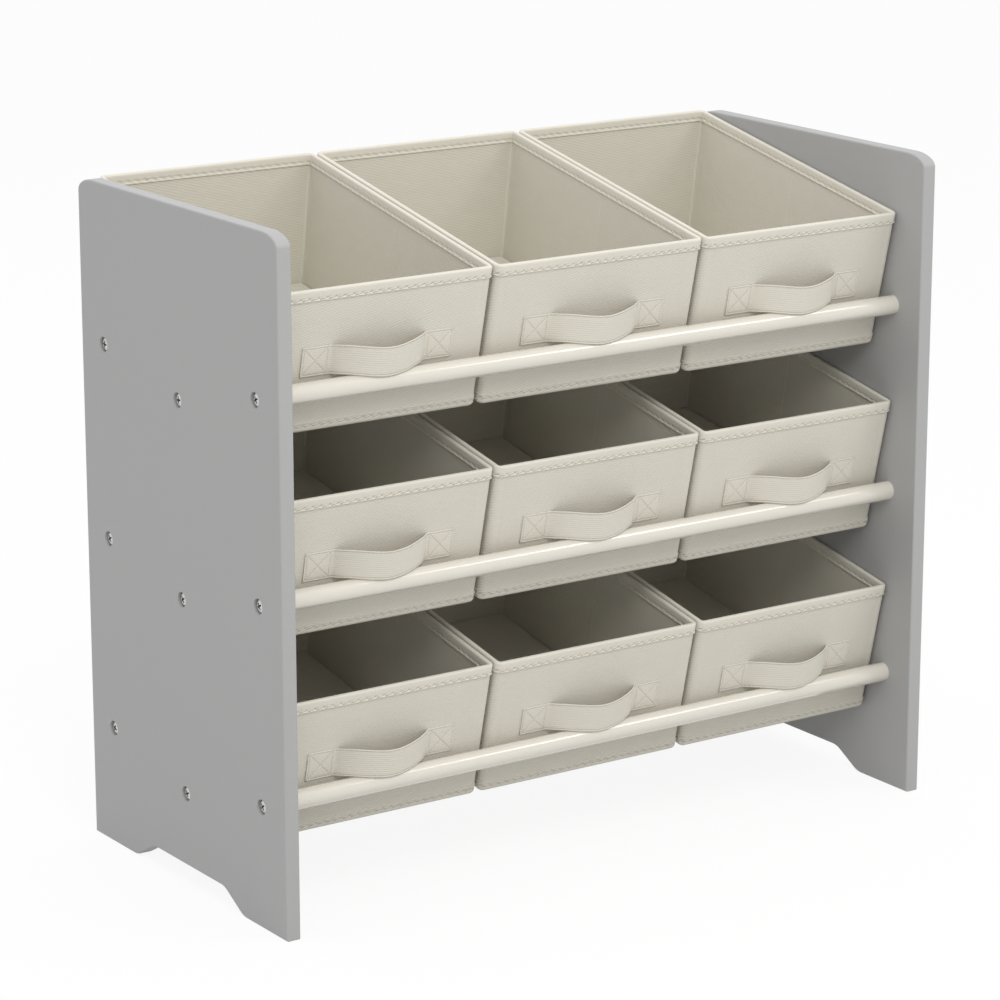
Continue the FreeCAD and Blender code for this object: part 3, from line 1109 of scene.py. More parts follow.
class WallRing:
    """Stations round a bin's wall, counter-clockwise from the front wall's left end."""

    def __init__(self, shape: BinShape, step: float, corner_steps: int = 8) -> None:
        """Spaces the stations.

        Args:
            shape: The bin's shape.
            step: The distance between stations on the straight stretches.
            corner_steps: The number of steps round a corner.
        """
        self.shape = shape
        across = np.linspace(-1, 1, round(shape.width / step) + 1)
        deep = np.linspace(0, 1, round(shape.depth / step) + 1)
        arc = np.linspace(0, math.pi / 2, corner_steps + 1)[1:-1]
        stretches = [(across, np.zeros_like(across), -math.pi / 2), (np.ones_like(deep), deep, 0.0),
                     (-across, np.ones_like(across), math.pi / 2), (-np.ones_like(deep), 1 - deep, math.pi)]
        slide_x, slide_y, facing = [], [], []
        for x, y, angle in stretches:
            slide_x += [x, np.full_like(arc, x[-1])]
            slide_y += [y, np.full_like(arc, y[-1])]
            facing += [np.full_like(x, angle), angle + arc]
        self.slide_x, self.slide_y = np.concatenate(slide_x), np.concatenate(slide_y)
        self.facing = np.concatenate(facing)

    def at(self, height: Sequence[float], inset: Sequence[float],
           corner: Optional[Sequence[float]] = None) -> np.ndarray:
        """Where the stations lie.

        Args:
            height: Heights in the bin's frame, one for each row.
            inset: Distances inside the wall's outer face, one for each row.
            corner: The upright corners' radii, if not the wall's own at that inset.

        Returns:
            The points, as rows by stations by 3.
        """
        shape = self.shape
        height, inset = np.asarray(height)[:, None], np.asarray(inset)[:, None]
        corner = shape.corner(inset) if corner is None else np.asarray(corner)[:, None]
        lean = shape.spread * height / shape.height
        x = self.slide_x * (shape.width / 2 - inset - corner) + corner * np.cos(self.facing)
        front, back = inset - lean + corner, shape.depth + lean - inset - corner
        y = front + (back - front) * self.slide_y + corner * np.sin(self.facing)
        return np.stack([x, y, np.broadcast_to(height, x.shape)], -1)

    def share(self, height: float, inset: float) -> np.ndarray:
        """How far round the ring the stations are at one height and inset.

        Args:
            height: The height in the bin's frame.
            inset: The distance inside the wall's outer face.

        Returns:
            A share for each station, and 1 for the first again.
        """
        outline = self.at([height], [inset])[0]
        run = running_sum(np.linalg.norm(np.roll(outline, -1, 0) - outline, axis=1))
        return run / run[-1]

    def outward(self) -> np.ndarray:
        """The level direction in which each station faces."""
        return np.stack([np.cos(self.facing), np.sin(self.facing), np.zeros_like(self.facing)], -1)

    def from_corner(self) -> np.ndarray:
        """How far each station is from the nearest corner's arc.

        Returns:
            The distances along the wall, 0 in the corners.
        """
        shape = self.shape
        across = (1 - np.abs(self.slide_x)) * (shape.width / 2 - shape.outer_corner)
        deep = (0.5 - np.abs(self.slide_y - 0.5)) * (shape.depth - 2 * shape.outer_corner)
        return np.maximum(across, deep)

    def on_side(self) -> np.ndarray:
        """1 at the stations of the left and right walls, else 0."""
        return np.isclose(np.sin(self.facing), 0).astype(float)


@dataclass(frozen=True)
class Sewing:
    """Sizes of the seams on a bin."""

    round_bin: int = 119
    pitch: float = NeedleDents.pitch
    stitch: float = 5.0 * MM
    thread: float = 1.0 * MM
    slant: float = math.atan(NeedleDents.slope)
    wander: float = math.radians(3)
    rim_row: float = 2.6 * MM
    hem_height: float = 9.4 * MM
    hem_row: float = 6.5 * MM
    hem_proud: float = 0.5 * MM
    hem_edge: float = 0.3 * MM
    hem_start: float = 3.5 * MM
    lip: float = 0.38 * MM
    lip_width: float = 0.8 * MM
    lip_corner: float = 4.0 * MM
    channel: float = 0.36 * MM
    channel_width: float = 0.95 * MM
    channel_ease: float = 0.15
    pucker: float = 0.15 * MM
    pucker_width: float = 2.4 * MM
    pucker_lean: float = 1.6
    sunk: float = 0.24 * MM
    hem_dents: float = 0.9
    outer_rim_dents: float = 1.0
    inner_rim_dents: float = 0.35
    fine_pitch: float = 2.3 * MM
    fine_stitch: float = 1.4 * MM
    fine_thread: float = 0.42 * MM
    fine_proud: float = 0.105 * MM

    def gather(self, share: np.ndarray, height: np.ndarray, row: float) -> np.ndarray:
        """How a row of stitches draws the cloth in and leaves puckers between the stitches.

        Args:
            share: How far round the bin, 0 to 1.
            height: The height above the seam's edge.
            row: The height of the stitches.

        Returns:
            The cloth's offset outwards.
        """
        phase = math.tau * (self.round_bin * share - self.pucker_lean * (height - row) / self.pitch)
        even = 1 - self.channel_ease * (1 + np.cos(phase))
        drawn = -self.channel * bump(height, row, self.channel_width) * even
        return drawn + self.pucker * np.cos(phase) * bump(height, row, self.pucker_width)


@dataclass(frozen=True)
class Drape:
    """How cloth lies over the boards in a bin's walls: creased beside them, folded and a little full."""

    crease: float
    crease_place: float
    crease_width: float
    fold: float
    pillow: float
    loosens: tuple[float, float]
    tightens: tuple[float, float]
    fold_width: float = 1.2 * MM
    pillow_band: tuple[float, float] = (4.0 * MM, 22.0 * MM)

    def relief(self, ring: WallRing, height: np.ndarray, waves: np.ndarray) -> np.ndarray:
        """How far the cloth stands off the wall.

        Args:
            ring: The stations round the wall.
            height: The height, one for each row.
            waves: The cloth's slow waves, as rows by stations.

        Returns:
            The offsets, as rows by stations.
        """
        level, near = height[:, None], ring.from_corner()[None]
        free = smooth_step(level, *self.loosens) * (1 - smooth_step(level, *self.tightens))
        creases = self.crease * bump(near, self.crease_place, self.crease_width)
        middle = bump(ring.slide_y[None], 0.5, self.fold_width / ring.shape.depth)
        folds = self.fold * ring.on_side()[None] * middle
        pillow = self.pillow * smooth_step(near, *self.pillow_band) * free
        return (pillow + waves - creases - folds) * free


OUTER_DRAPE = Drape(crease=0.3 * MM, crease_place=2.6 * MM, crease_width=1.8 * MM, fold=0.28 * MM,
                    pillow=0.2 * MM, loosens=(10.5 * MM, 20 * MM), tightens=(96 * MM, 108 * MM))
INNER_DRAPE = Drape(crease=0.2 * MM, crease_place=3.5 * MM, crease_width=2.0 * MM, fold=0.25 * MM,
                    pillow=0.0, loosens=(6 * MM, 16 * MM), tightens=(96 * MM, 106 * MM))


class Skin(Enum):
    """Which part of a bin's skin a row belongs to."""

    INSIDE = "inside"
    LEVEL = "level"
    OUTSIDE = "outside"


@dataclass(frozen=True)
class Row:
    """One row of a bin's skin, from the inside of the floor over the rim to the underside."""

    height: float
    inset: float
    scale: float = 1.0
    skin: Skin = Skin.LEVEL
    corner: Optional[float] = None


@dataclass
class Bin:
    """One fabric bin: cover, rim binding, base board, strap handle and all their stitches."""

    tier: str
    column: str
    shape: BinShape
    sewing: Sewing
    stitchers: dict[Spacing, Stitcher]
    cloths: dict[str, Cloth]
    seed: int
    wall_step: float = 1.9 * MM
    wall_rows: int = 12
    floor_turn: float = 1.6 * MM
    hang_band: tuple[float, float] = (12.0 * MM, 45.0 * MM)
    rim_step: float = 1.55 * MM
    crest_points: int = 15
    crest_power: float = 0.72
    tape_tuck: float = 0.12 * MM
    tape_flank: tuple[float, float] = (0.75, 0.98)
    tape_lip: float = 0.95 * MM
    tape_lip_width: float = 0.75 * MM
    corner_swell: float = 0.15 * MM
    edge_ripple: float = 0.14 * MM
    ripple_reach: float = 1.2 * MM
    board_step: float = 4.0 * MM
    board_thickness: float = 2.5 * MM
    board_rounding: float = 1.2 * MM
    board_gap: float = 1.0 * MM
    seam_step: float = 3.0 * MM
    fold_start: float = 14.0 * MM
    fold_end: float = 1.0 * MM
    fold_points: int = 20
    wave_height: float = 0.16 * MM
    wave_length: float = 55.0 * MM
    wave_places: tuple[int, int] = (90, 14)
    wave_shift: float = 9.7

    def __post_init__(self) -> None:
        """Works out where the bin lies from the rails that carry it."""
        self.name = f"{self.tier}_{self.column}_bin"
        shape = self.shape
        center, back = (RackFrame.axis(f"{self.tier}_{place}_rail") for place in ("center", "back"))
        low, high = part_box(f"{self.tier}_center_rail")
        lift = (high.z - low.z) / 2 + shape.running_gap
        self.tilt = math.atan2(back.z - center.z, back.y - center.y)
        along = Vector((0, math.cos(self.tilt), math.sin(self.tilt)))
        upward = Vector((0, -math.sin(self.tilt), math.cos(self.tilt)))
        edge = center + upward * lift - along * shape.sag_depth
        board_low, board_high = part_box(self.node("base_board"))
        edge.x = (board_low.x + board_high.x) / 2
        self.upright = Matrix.Translation(edge)
        self.tilted = self.upright @ Matrix.Rotation(self.tilt, 4, "X")

    def node(self, piece: str) -> str:
        """The name of one of this bin's nodes."""
        return f"{self.name}_{piece}"

    def build(self) -> None:
        """Makes every piece of the bin and lets it ride on the bin's body."""
        dress(self.node("wall_boards"), STIFFENER)
        self.add("cover", self.cover(), self.cloths["twill"], "bin_fabric")
        self.add("rim_binding", self.rim_binding(), self.cloths["tape"], "binding")
        self.add("base_board", self.base_board(), self.cloths["twill"], "lining")
        strap = Strap(self.shape, self.tilt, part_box(f"{self.tier}_front_rail"), self.upright.translation)
        self.add("handle", strap.lattice(), strap.finish(), "webbing", self.upright)
        self.sew("stitching", self.long_seams(), self.tilted, Spacing.COUNT)
        self.sew("fold_stitching", self.fold_seams(), self.tilted, Spacing.PITCH)
        self.sew("handle_stitching", strap.seams(self.sewing), self.upright, Spacing.PITCH)

    def add(self, piece: str, lattice: Lattice, finish: Finish, slot: str,
            place: Optional[Matrix] = None) -> None:
        """Makes one skin a piece that stands for the node of the same name.

        Args:
            piece: The piece's name within the bin.
            lattice: Its skin in the bin's frame.
            finish: Its finish.
            slot: Not used.
            place: Where the frame of the skin lies, if not tilted with the bin.
        """
        name = self.node(piece)
        mesh = lattice.mesh(name)
        mesh.transform(place or self.tilted)
        made = new_object(name + "_sewn", mesh, finish)
        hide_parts(name)
        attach(made, self.name)
        log_triangles(made)

    def sew(self, piece: str, lines: GuideLines, place: Matrix, spacing: Spacing) -> None:
        """Sews stitches along lines: coarse ones counted round the bin, or fine ones by their pitch.

        Args:
            piece: The piece's name within the bin.
            lines: The lines, in the frame that place gives.
            place: Where that frame lies.
            spacing: How the stitches are spaced.
        """
        name, sewing = self.node(piece), self.sewing
        sizes = {"Step": sewing.fine_pitch, "Length": sewing.fine_stitch,
                 "Thickness": sewing.fine_thread, "Slant": 0.0}
        if spacing is Spacing.COUNT:
            sizes = {"Step": sewing.round_bin, "Length": sewing.stitch,
                     "Thickness": sewing.thread, "Slant": sewing.slant}
        sizes |= {"Wander": sewing.wander, "Seed": self.seed, "Material": THREAD.material()}
        stitches = self.stitchers[spacing].apply(name, lines.mesh(name + "_lines"), sizes)
        stitches.data.transform(place)
        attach(stitches, self.name)
        log_triangles(stitches)

    def waves(self, share: np.ndarray, height: np.ndarray) -> np.ndarray:
        """The slow unevenness of cloth drawn over boards, from 0 to about wave_height.

        Args:
            share: How far round the bin, one for each station.
            height: The height, one for each row.

        Returns:
            The offset, as rows by stations.
        """
        shares = np.linspace(0, 1, self.wave_places[0])
        heights = np.linspace(0, self.shape.height, self.wave_places[1])
        reach = (self.shape.width + self.shape.depth) / math.pi / self.wave_length
        table = np.array([[noise.noise(Vector((reach * math.cos(s * math.tau), reach * math.sin(s * math.tau),
                                               h / self.wave_length + self.wave_shift * self.seed)))
                           for s in shares] for h in heights])
        rows = np.array([np.interp(share, shares, line) for line in table])
        heaves = np.array([np.interp(height, heights, column) for column in rows.T]).T
        return self.wave_height * (0.5 + heaves)

    # -- cover --

    def cover_rows(self) -> list[Row]:
        """The rows of the cover's skin: floor, inside, rim, outside, hem and underside.

        Returns:
            The rows.
        """
        shape = self.shape
        floor, wall, base = shape.floor, shape.wall, shape.base_rounding
        top, turn, last = shape.height - shape.binding, self.floor_turn, shape.outer_corner - base
        quarter = np.linspace(0, math.pi / 2, 6)
        inside = np.linspace(8 * MM, top - 9 * MM, self.wall_rows)
        outside = np.linspace(top - 8 * MM, 18 * MM, self.wall_rows)
        # Millimetres above the base, closest together at the hem's edge and its stitches.
        hem = (13.5, 11.5, 10.6, 10.1, 9.8, 9.5, 9.2, 8.9, 8.5, 8.0, 7.6, 7.2, 6.8, 6.4, 6.0, 5.6, 5.1, 4.5)
        rows = [Row(floor, wall + turn, scale) for scale in (0, 0.35, 0.7, 0.9, 1)]
        rows += [Row(floor + turn * (1 - math.cos(angle)), wall + turn * (1 - math.sin(angle)),
                     skin=Skin.INSIDE) for angle in quarter]
        rows += [Row(height, wall, skin=Skin.INSIDE) for height in inside]
        rows += [Row(top, wall), Row(top, 0)]
        rows += [Row(height, 0, skin=Skin.OUTSIDE) for height in outside]
        rows += [Row(height * MM, 0, skin=Skin.OUTSIDE) for height in hem]
        rows += [Row(base * (1 - math.sin(angle)), base * (1 - math.cos(angle)), skin=Skin.OUTSIDE,
                     corner=last + base * math.cos(angle)) for angle in quarter]
        rows += [Row(0, base, scale, corner=last) for scale in (1, 0.93, 0.8, 0.6, 0.35, 0)]
        return rows

    def skin(self, ring: WallRing, rows: list[Row]) -> np.ndarray:
        """The points of rows, drawn in towards the bin's middle by their scale.

        Args:
            ring: The stations round the wall.
            rows: The rows.

        Returns:
            The points, as rows by stations by 3.
        """
        shape = self.shape
        corner = [shape.corner(row.inset) if row.corner is None else row.corner for row in rows]
        points = ring.at([row.height for row in rows], [row.inset for row in rows], corner)
        middle = np.array([0, shape.depth / 2])
        scale = np.array([row.scale for row in rows])[:, None, None]
        points[..., :2] = middle + (points[..., :2] - middle) * scale
        return points

    def cover(self) -> Lattice:
        """The cover's skin, inside and out.

        Returns:
            The skin.
        """
        ring, rows = WallRing(self.shape, self.wall_step), self.cover_rows()
        height = np.array([row.height for row in rows])
        outer = np.array([row.skin is Skin.OUTSIDE for row in rows])[:, None]
        inner = np.array([row.skin is Skin.INSIDE for row in rows])[:, None]
        points = self.skin(ring, rows)
        hangs = 1 - smooth_step(height, *self.hang_band)
        points[..., 2] -= self.shape.sag(points[..., 1]) * hangs[:, None]
        share = ring.share(self.sewing.hem_row, -self.sewing.hem_proud)
        seams = self.hem_relief(ring, share[:-1], height[:, None])
        outwards = seams + OUTER_DRAPE.relief(ring, height, self.waves(share[:-1], height))
        inwards = INNER_DRAPE.relief(ring, height, self.waves(share[:-1], height[::-1]))
        points += ring.outward()[None] * (outer * outwards - inner * inwards)[..., None]
        return Lattice(points, self.cover_weave(share, rows, points))

    def hem_relief(self, ring: WallRing, share: np.ndarray, level: np.ndarray) -> np.ndarray:
        """How far the hem, its upper lip and its gathers stand off the wall.

        Args:
            ring: The stations round the wall.
            share: How far round the bin, one for each station.
            level: The height, as a column with one for each row.

        Returns:
            The offsets, as rows by stations.
        """
        sewing = self.sewing
        top, edge = sewing.hem_height, sewing.hem_edge
        hem = sewing.hem_proud * (1 - smooth_step(level, top - edge, top + edge))
        at_corner = bump(ring.from_corner()[None], 0, sewing.lip_corner)
        lip = sewing.lip * bump(level, top - sewing.lip_width, sewing.lip_width) * (0.6 + 0.4 * at_corner)
        gather = sewing.gather(share, level, sewing.hem_row)
        return (hem + lip + gather) * smooth_step(level, 0, sewing.hem_start)

    def cover_weave(self, share: np.ndarray, rows: list[Row], points: np.ndarray) -> np.ndarray:
        """The weave map: round and up the walls, and straight across the floor and underside.

        The outside keeps its heights, where its finish has the hem's dents. The inside and the flat
        parts lie far from them on the map.

        Args:
            share: How far round the bin, 0 to 1, one for each station and the first again.
            rows: The rows.
            points: The points, as rows by stations by 3.

        Returns:
            The map's coordinates, as rows by stations by 2.
        """
        run = share * self.sewing.round_bin * self.sewing.pitch
        height = np.array([row.height for row in rows])
        inset = np.array([row.inset for row in rows])
        inside = np.array([row.skin is Skin.INSIDE for row in rows])
        flat = np.array([row.skin is Skin.LEVEL for row in rows])
        across = height - inset * (height < self.shape.base_rounding) + INSIDE_SHIFT * inside
        weave = weave_grid(run[None], across[:, None]).copy()
        weave[flat] = flat_weave(points)[flat]
        return weave

    # -- rim binding --

    def rim_section(self) -> np.ndarray:
        """The tape's section: from its edge outside over the rim to its edge inside and back in the wall.

        Returns:
            Rows of the inset, the height above the tape's lower edge, and the place on the weave map.
        """
        shape = self.shape
        proud, half, span = shape.binding, shape.rim_half, shape.tape_span
        rise = shape.binding_height - half
        # The edge as shares of the tape's thickness with millimetres up, and the millimetres up its face.
        edge = ((0.02, 0.1), (0.5, -0.05), (0.85, 0.2), (1.0, 0.55))
        flat = (0.9, 1.3, 1.7, 2.1, 2.4, 2.7, 3.0, 3.4, 3.9, 4.6, 5.6, 6.6)
        side = [(-proud * out, z * MM, z * MM - proud * (1 - out)) for out, z in edge]
        side += [(-proud, z * MM, z * MM) for z in flat]
        arch = []
        for angle in np.linspace(0, math.pi, self.crest_points):
            across = math.copysign(abs(math.cos(angle)) ** self.crest_power, math.cos(angle))
            arch.append((shape.wall / 2 - half * across, rise + half * math.sin(angle) ** self.crest_power,
                         rise + half * angle))
        far = [(shape.wall - inset, height, span - place) for inset, height, place in reversed(side)]
        tuck, lower, upper = self.tape_tuck, 0.4 * MM, rise + half - 1.2 * MM
        within = [(shape.wall - tuck, lower, span), (shape.wall - tuck, upper, span),
                  (tuck, upper, 0.0), (tuck, lower, 0.0)]
        return np.array(side + arch + far + within)

    def rim_binding(self) -> Lattice:
        """The tape folded over the rim, gathered along its stitches outside and inside.

        Returns:
            The tape's skin.
        """
        shape, sewing = self.shape, self.sewing
        low = shape.height - shape.binding_height
        inset, level, place = [column[:, None] for column in self.rim_section().T]
        ring = WallRing(shape, self.rim_step)
        points = ring.at(low + level[:, 0], inset[:, 0])
        side = (shape.wall / 2 - inset) / shape.rim_half
        seen = (np.abs(side) > self.tape_flank[0]) | (level > shape.binding_height - shape.rim_half)
        face = smooth_step(np.abs(side), *self.tape_flank)
        outside, inside = [ring.share(low + sewing.rim_row, far)[None]
                           for far in (-shape.binding, shape.wall + shape.binding)]
        over = np.clip((place / shape.tape_span - 0.5) * 3 + 0.5, 0, 1)
        share = outside * (1 - over) + inside * over
        gather = sewing.gather(share[:, :-1], level, sewing.rim_row)
        lip = sewing.lip * bump(level, self.tape_lip, self.tape_lip_width)
        swell = self.corner_swell * np.isclose(ring.from_corner()[None], 0)
        points += ring.outward()[None] * (np.sign(side) * face * (gather + lip + swell))[..., None]
        ripple = np.cos(math.tau * sewing.round_bin * share[:, :-1])
        points[..., 2] += self.edge_ripple * ripple * bump(level, 0, self.ripple_reach) * seen
        weave = weave_grid(share * sewing.round_bin * sewing.pitch, place)
        return Lattice(points, np.concatenate([weave, weave[:1]]), rows_close=True)

    # -- base board --

    def base_board(self) -> Lattice:
        """The loose board on the floor, with its cloth drawn round rounded edges.

        Returns:
            The board's skin.
        """
        shape = self.shape
        thick, rounding, edge = self.board_thickness, self.board_rounding, shape.wall + self.board_gap
        top, corner = shape.floor + thick, shape.inner_corner
        rows = [Row(shape.floor, edge + rounding, scale, corner=corner - rounding) for scale in (0, 0.5, 0.9)]
        for angle in np.linspace(0, math.pi, 9):
            drawn = rounding * (1 - math.sin(angle))
            height = shape.floor + thick / 2 * (1 - math.cos(angle))
            rows.append(Row(height, edge + drawn, corner=corner - drawn))
        rows += [Row(top, edge + rounding, scale, corner=corner - rounding)
                 for scale in (0.98, 0.9, 0.7, 0.35, 0)]
        points = self.skin(WallRing(shape, self.board_step), rows)
        return Lattice(points, flat_weave(points))

    # -- seams --

    def long_seams(self) -> GuideLines:
        """The rows of coarse stitches round the rim, outside and inside, and round the hem.

        Returns:
            The lines, in the bin's frame.
        """
        shape, sewing = self.shape, self.sewing
        ring = WallRing(shape, self.seam_step)
        facing = ring.outward()
        lines = GuideLines()
        row = shape.height - shape.binding_height + sewing.rim_row
        out = shape.binding - sewing.sunk
        lines.add(ring.at([row], [-out])[0], facing, True)
        lines.add(ring.at([row], [shape.wall + out])[0], -facing, True)
        hem = ring.at([sewing.hem_row], [-(sewing.hem_proud - sewing.sunk)])[0]
        hem[:, 2] -= shape.sag(hem[:, 1])
        lines.add(hem, facing, True)
        return lines

    def fold_seams(self) -> GuideLines:
        """The fine rows at the side walls' folds, outside and inside.

        Returns:
            The lines, in the bin's frame.
        """
        shape = self.shape
        lines = GuideLines()
        end = shape.height - shape.binding_height - self.fold_end
        levels = np.linspace(self.fold_start, end, self.fold_points)
        for side in (-1, 1):
            for inset, sign in ((0.0, 1), (shape.wall - 0.1 * MM, -1)):
                x = np.full_like(levels, side * (shape.width / 2 - inset))
                line = np.stack([x, np.full_like(levels, shape.depth / 2), levels], -1)
                lines.add(line, np.array([side * sign, 0.0, 0.0]))
        return lines


@dataclass
class Strap:
    """A webbing handle, upright in a frame whose origin is on the bin's front base edge."""

    shape: BinShape
    tilt: float
    rail: tuple[Vector, Vector]
    origin: Vector
    width: float = 24.5 * MM
    thickness: float = 1.4 * MM
    patch: float = 24.4 * MM
    chord: float = 87.2 * MM
    bow: float = 19.5 * MM
    end_radius: float = 4.0 * MM
    loop_sag: float = 3.5 * MM
    sag_reach: float = 36.0 * MM
    over_rail: float = 0.9 * MM
    patch_step: float = 0.55 * MM
    loop_steps: int = 84
    ribs: int = 13
    rib_height: float = 0.16 * MM
    edge_rounding: float = 0.5 * MM
    seam_inset: float = 1.7 * MM
    seam_depth: float = 0.12 * MM
    seam_shadow: float = 0.3
    groove_depth: float = 0.3 * MM
    groove_width: float = 0.5 * MM
    loosening: float = 4.0 * MM
    pressed_ribs: float = 0.25
    plan_points: int = 4001
    seam_points: int = 90

    def __post_init__(self) -> None:
        """Works out the strap's lean and its height over the front rail."""
        self.lean = self.tilt + math.atan(self.shape.spread / self.shape.height)
        self.bottom = self.rail[1].z + self.over_rail - self.origin.z
        self.turn = 2 * math.atan(self.bow / (self.chord / 2))
        self.bow_radius = self.chord / 2 / math.sin(self.turn) - self.end_radius
        end, bow = self.end_radius * self.turn, 2 * self.bow_radius * self.turn
        self.marks = np.cumsum([self.patch, end, bow, end, self.patch])
        self.length = float(self.marks[-1])
        loop = np.linspace(self.patch, self.length - self.patch, self.loop_steps)
        patch = np.arange(0, self.patch, self.patch_step)
        self.stations = np.concatenate([patch, loop, self.length - patch[::-1]])

    def plan(self, run: np.ndarray) -> tuple[np.ndarray, np.ndarray]:
        """The strap's back face seen from above.

        Args:
            run: Distances along the strap from its left end.

        Returns:
            The points as x and y, and the angle by which the strap has turned outwards at each.
        """
        fine = np.linspace(0, self.length, self.plan_points)
        leave, rise, fall, meet = self.marks[:4]
        bends = [(fine - leave) / self.end_radius, self.turn - (fine - rise) / self.bow_radius,
                 (fine - meet) / self.end_radius]
        where = [(fine > leave) & (fine <= rise), (fine > rise) & (fine <= fall),
                 (fine > fall) & (fine <= meet)]
        bend = np.select(where, bends, 0.0)
        x = running_sum(np.cos(bend[:-1]) * fine[1])
        y = running_sum(-np.sin(bend[:-1]) * fine[1])
        points = np.stack([np.interp(run, fine, x - x[-1] / 2), np.interp(run, fine, y)], -1)
        return points, np.interp(run, fine, bend)

    def place(self, run: np.ndarray, up: np.ndarray, out: np.ndarray) -> np.ndarray:
        """Points on the strap.

        Args:
            run: Distances along it.
            up: Distances up its width, of the same shape as out.
            out: Distances off its back face, as rows by stations, or as stations alone.

        Returns:
            The points.
        """
        plan, angle = self.plan(run)
        x = plan[:, 0] - np.sin(angle) * out
        y = plan[:, 1] - np.cos(angle) * out
        dip = self.loop_sag * (1 - smooth_step(np.abs(x), 0, self.sag_reach))
        level = self.bottom + up * math.cos(self.lean) - dip
        return np.stack([x, y - level * math.tan(self.lean), level], -1)

    def seam_lines(self) -> list[tuple[float, float, float, float]]:
        """The rows of stitches: along both edges, round both patches and corner to corner across them.

        Returns:
            Each row's start and end, as the distance along the strap and up its width.
        """
        low, high = self.seam_inset, self.width - self.seam_inset
        near, far = self.seam_inset, self.patch - self.seam_inset
        rows = [(near, up, self.length - near, up) for up in (low, high)]
        for run_a, up_a, run_b, up_b in ((near, low, near, high), (far, low, far, high),
                                         (near, low, far, high), (near, high, far, low)):
            rows += [(run_a, up_a, run_b, up_b), (self.length - run_a, up_a, self.length - run_b, up_b)]
        return rows

    def finish(self) -> Cloth:
        """The webbing with the seams pressed into it.

        Returns:
            The finish.
        """
        inset, edge = self.seam_inset, self.edge_rounding
        return replace(WEBBING, dents=StrapDents(
            depth=self.seam_depth, shadow=self.seam_shadow, length=self.length,
            near=inset, far=self.patch - inset, low=inset - edge, high=self.width - inset - edge))

    def grooves(self, run: np.ndarray, up: np.ndarray) -> np.ndarray:
        """How deep the rows of stitches press into the strap's face.

        Args:
            run: Distances along the strap.
            up: Distances up its width.

        Returns:
            The depth at each place, 0 to 1.
        """
        depth = np.zeros(np.broadcast_shapes(run.shape, up.shape))
        for run_a, up_a, run_b, up_b in self.seam_lines():
            step = np.array([run_b - run_a, up_b - up_a])
            share = np.clip(((run - run_a) * step[0] + (up - up_a) * step[1]) / (step @ step), 0, 1)
            gap = np.hypot(run - run_a - share * step[0], up - up_a - share * step[1])
            depth = np.maximum(depth, bump(gap, 0, self.groove_width))
        return depth

    def lattice(self) -> Lattice:
        """The strap's skin: ribbed and grooved face, plain back, rounded edges and closed ends.

        Returns:
            The skin.
        """
        rounding, half = self.edge_rounding, self.thickness / 2
        face_up = np.linspace(rounding, self.width - rounding, 4 * self.ribs + 1)
        turns = np.linspace(-math.pi / 2, math.pi / 2, 5)
        upper = [(self.width - rounding * (1 - math.cos(turn)), half - half * math.sin(turn))
                 for turn in turns[1:]]
        lower = [(rounding * (1 - math.cos(turn)), half + half * math.sin(turn)) for turn in turns[:-1]]
        back = [(up, 0.0) for up in face_up[::-4][1:-1]]
        section = [(up, self.thickness) for up in face_up] + upper + back + lower
        run = np.concatenate([self.stations[:1], self.stations, self.stations[-1:]])
        up, out = [np.array(column)[:, None] + 0 * run[None] for column in zip(*section)]
        face = slice(0, len(face_up))
        share = (up[face] - rounding) / (self.width - 2 * rounding)
        loose = smooth_step(np.minimum(run, self.length - run), self.patch, self.patch + self.loosening)
        valleys = np.abs(np.cos(math.pi * self.ribs * share)) - 1
        out[face] += self.rib_height * valleys * (self.pressed_ribs * (1 - loose) + loose)
        out[face] -= self.groove_depth * self.grooves(run[None], up[face])
        points = self.place(run, up, out)
        for station in (0, -1):
            points[:, station] = points[:, station].mean(0)
        around = running_sum(np.hypot(*np.diff(section + section[:1], axis=0).T))
        weave = weave_grid(run[None], around[:, None])
        return Lattice(points, weave, stations_close=False, rows_close=True)

    def seams(self, sewing: Sewing) -> GuideLines:
        """The rows of stitches in their grooves.

        Args:
            sewing: The sizes of the seams.

        Returns:
            The lines.
        """
        lines = GuideLines()
        share = np.linspace(0, 1, self.seam_points)
        out = self.thickness - self.groove_depth + sewing.fine_proud
        for run_a, up_a, run_b, up_b in self.seam_lines():
            run = run_a + (run_b - run_a) * share
            angle = self.plan(run)[1]
            rise = np.full_like(angle, -math.tan(self.lean))
            outward = np.stack([-np.sin(angle), -np.cos(angle), rise], -1)
            outward /= np.linalg.norm(outward, axis=1)[:, None]
            up = up_a + (up_b - up_a) * share
            lines.add(self.place(run, up, np.full_like(run, out)), outward)
        return lines


# ---- Studio -----------------------------------------------------------------------------------------

@dataclass(frozen=True)
class Lamp:
    """A soft square lamp that shines at the organiser."""

    name: str
    place: tuple[float, float, float]
    size: float
    watts: float
    color: tuple[float, float, float] = (1.0, 1.0, 1.0)


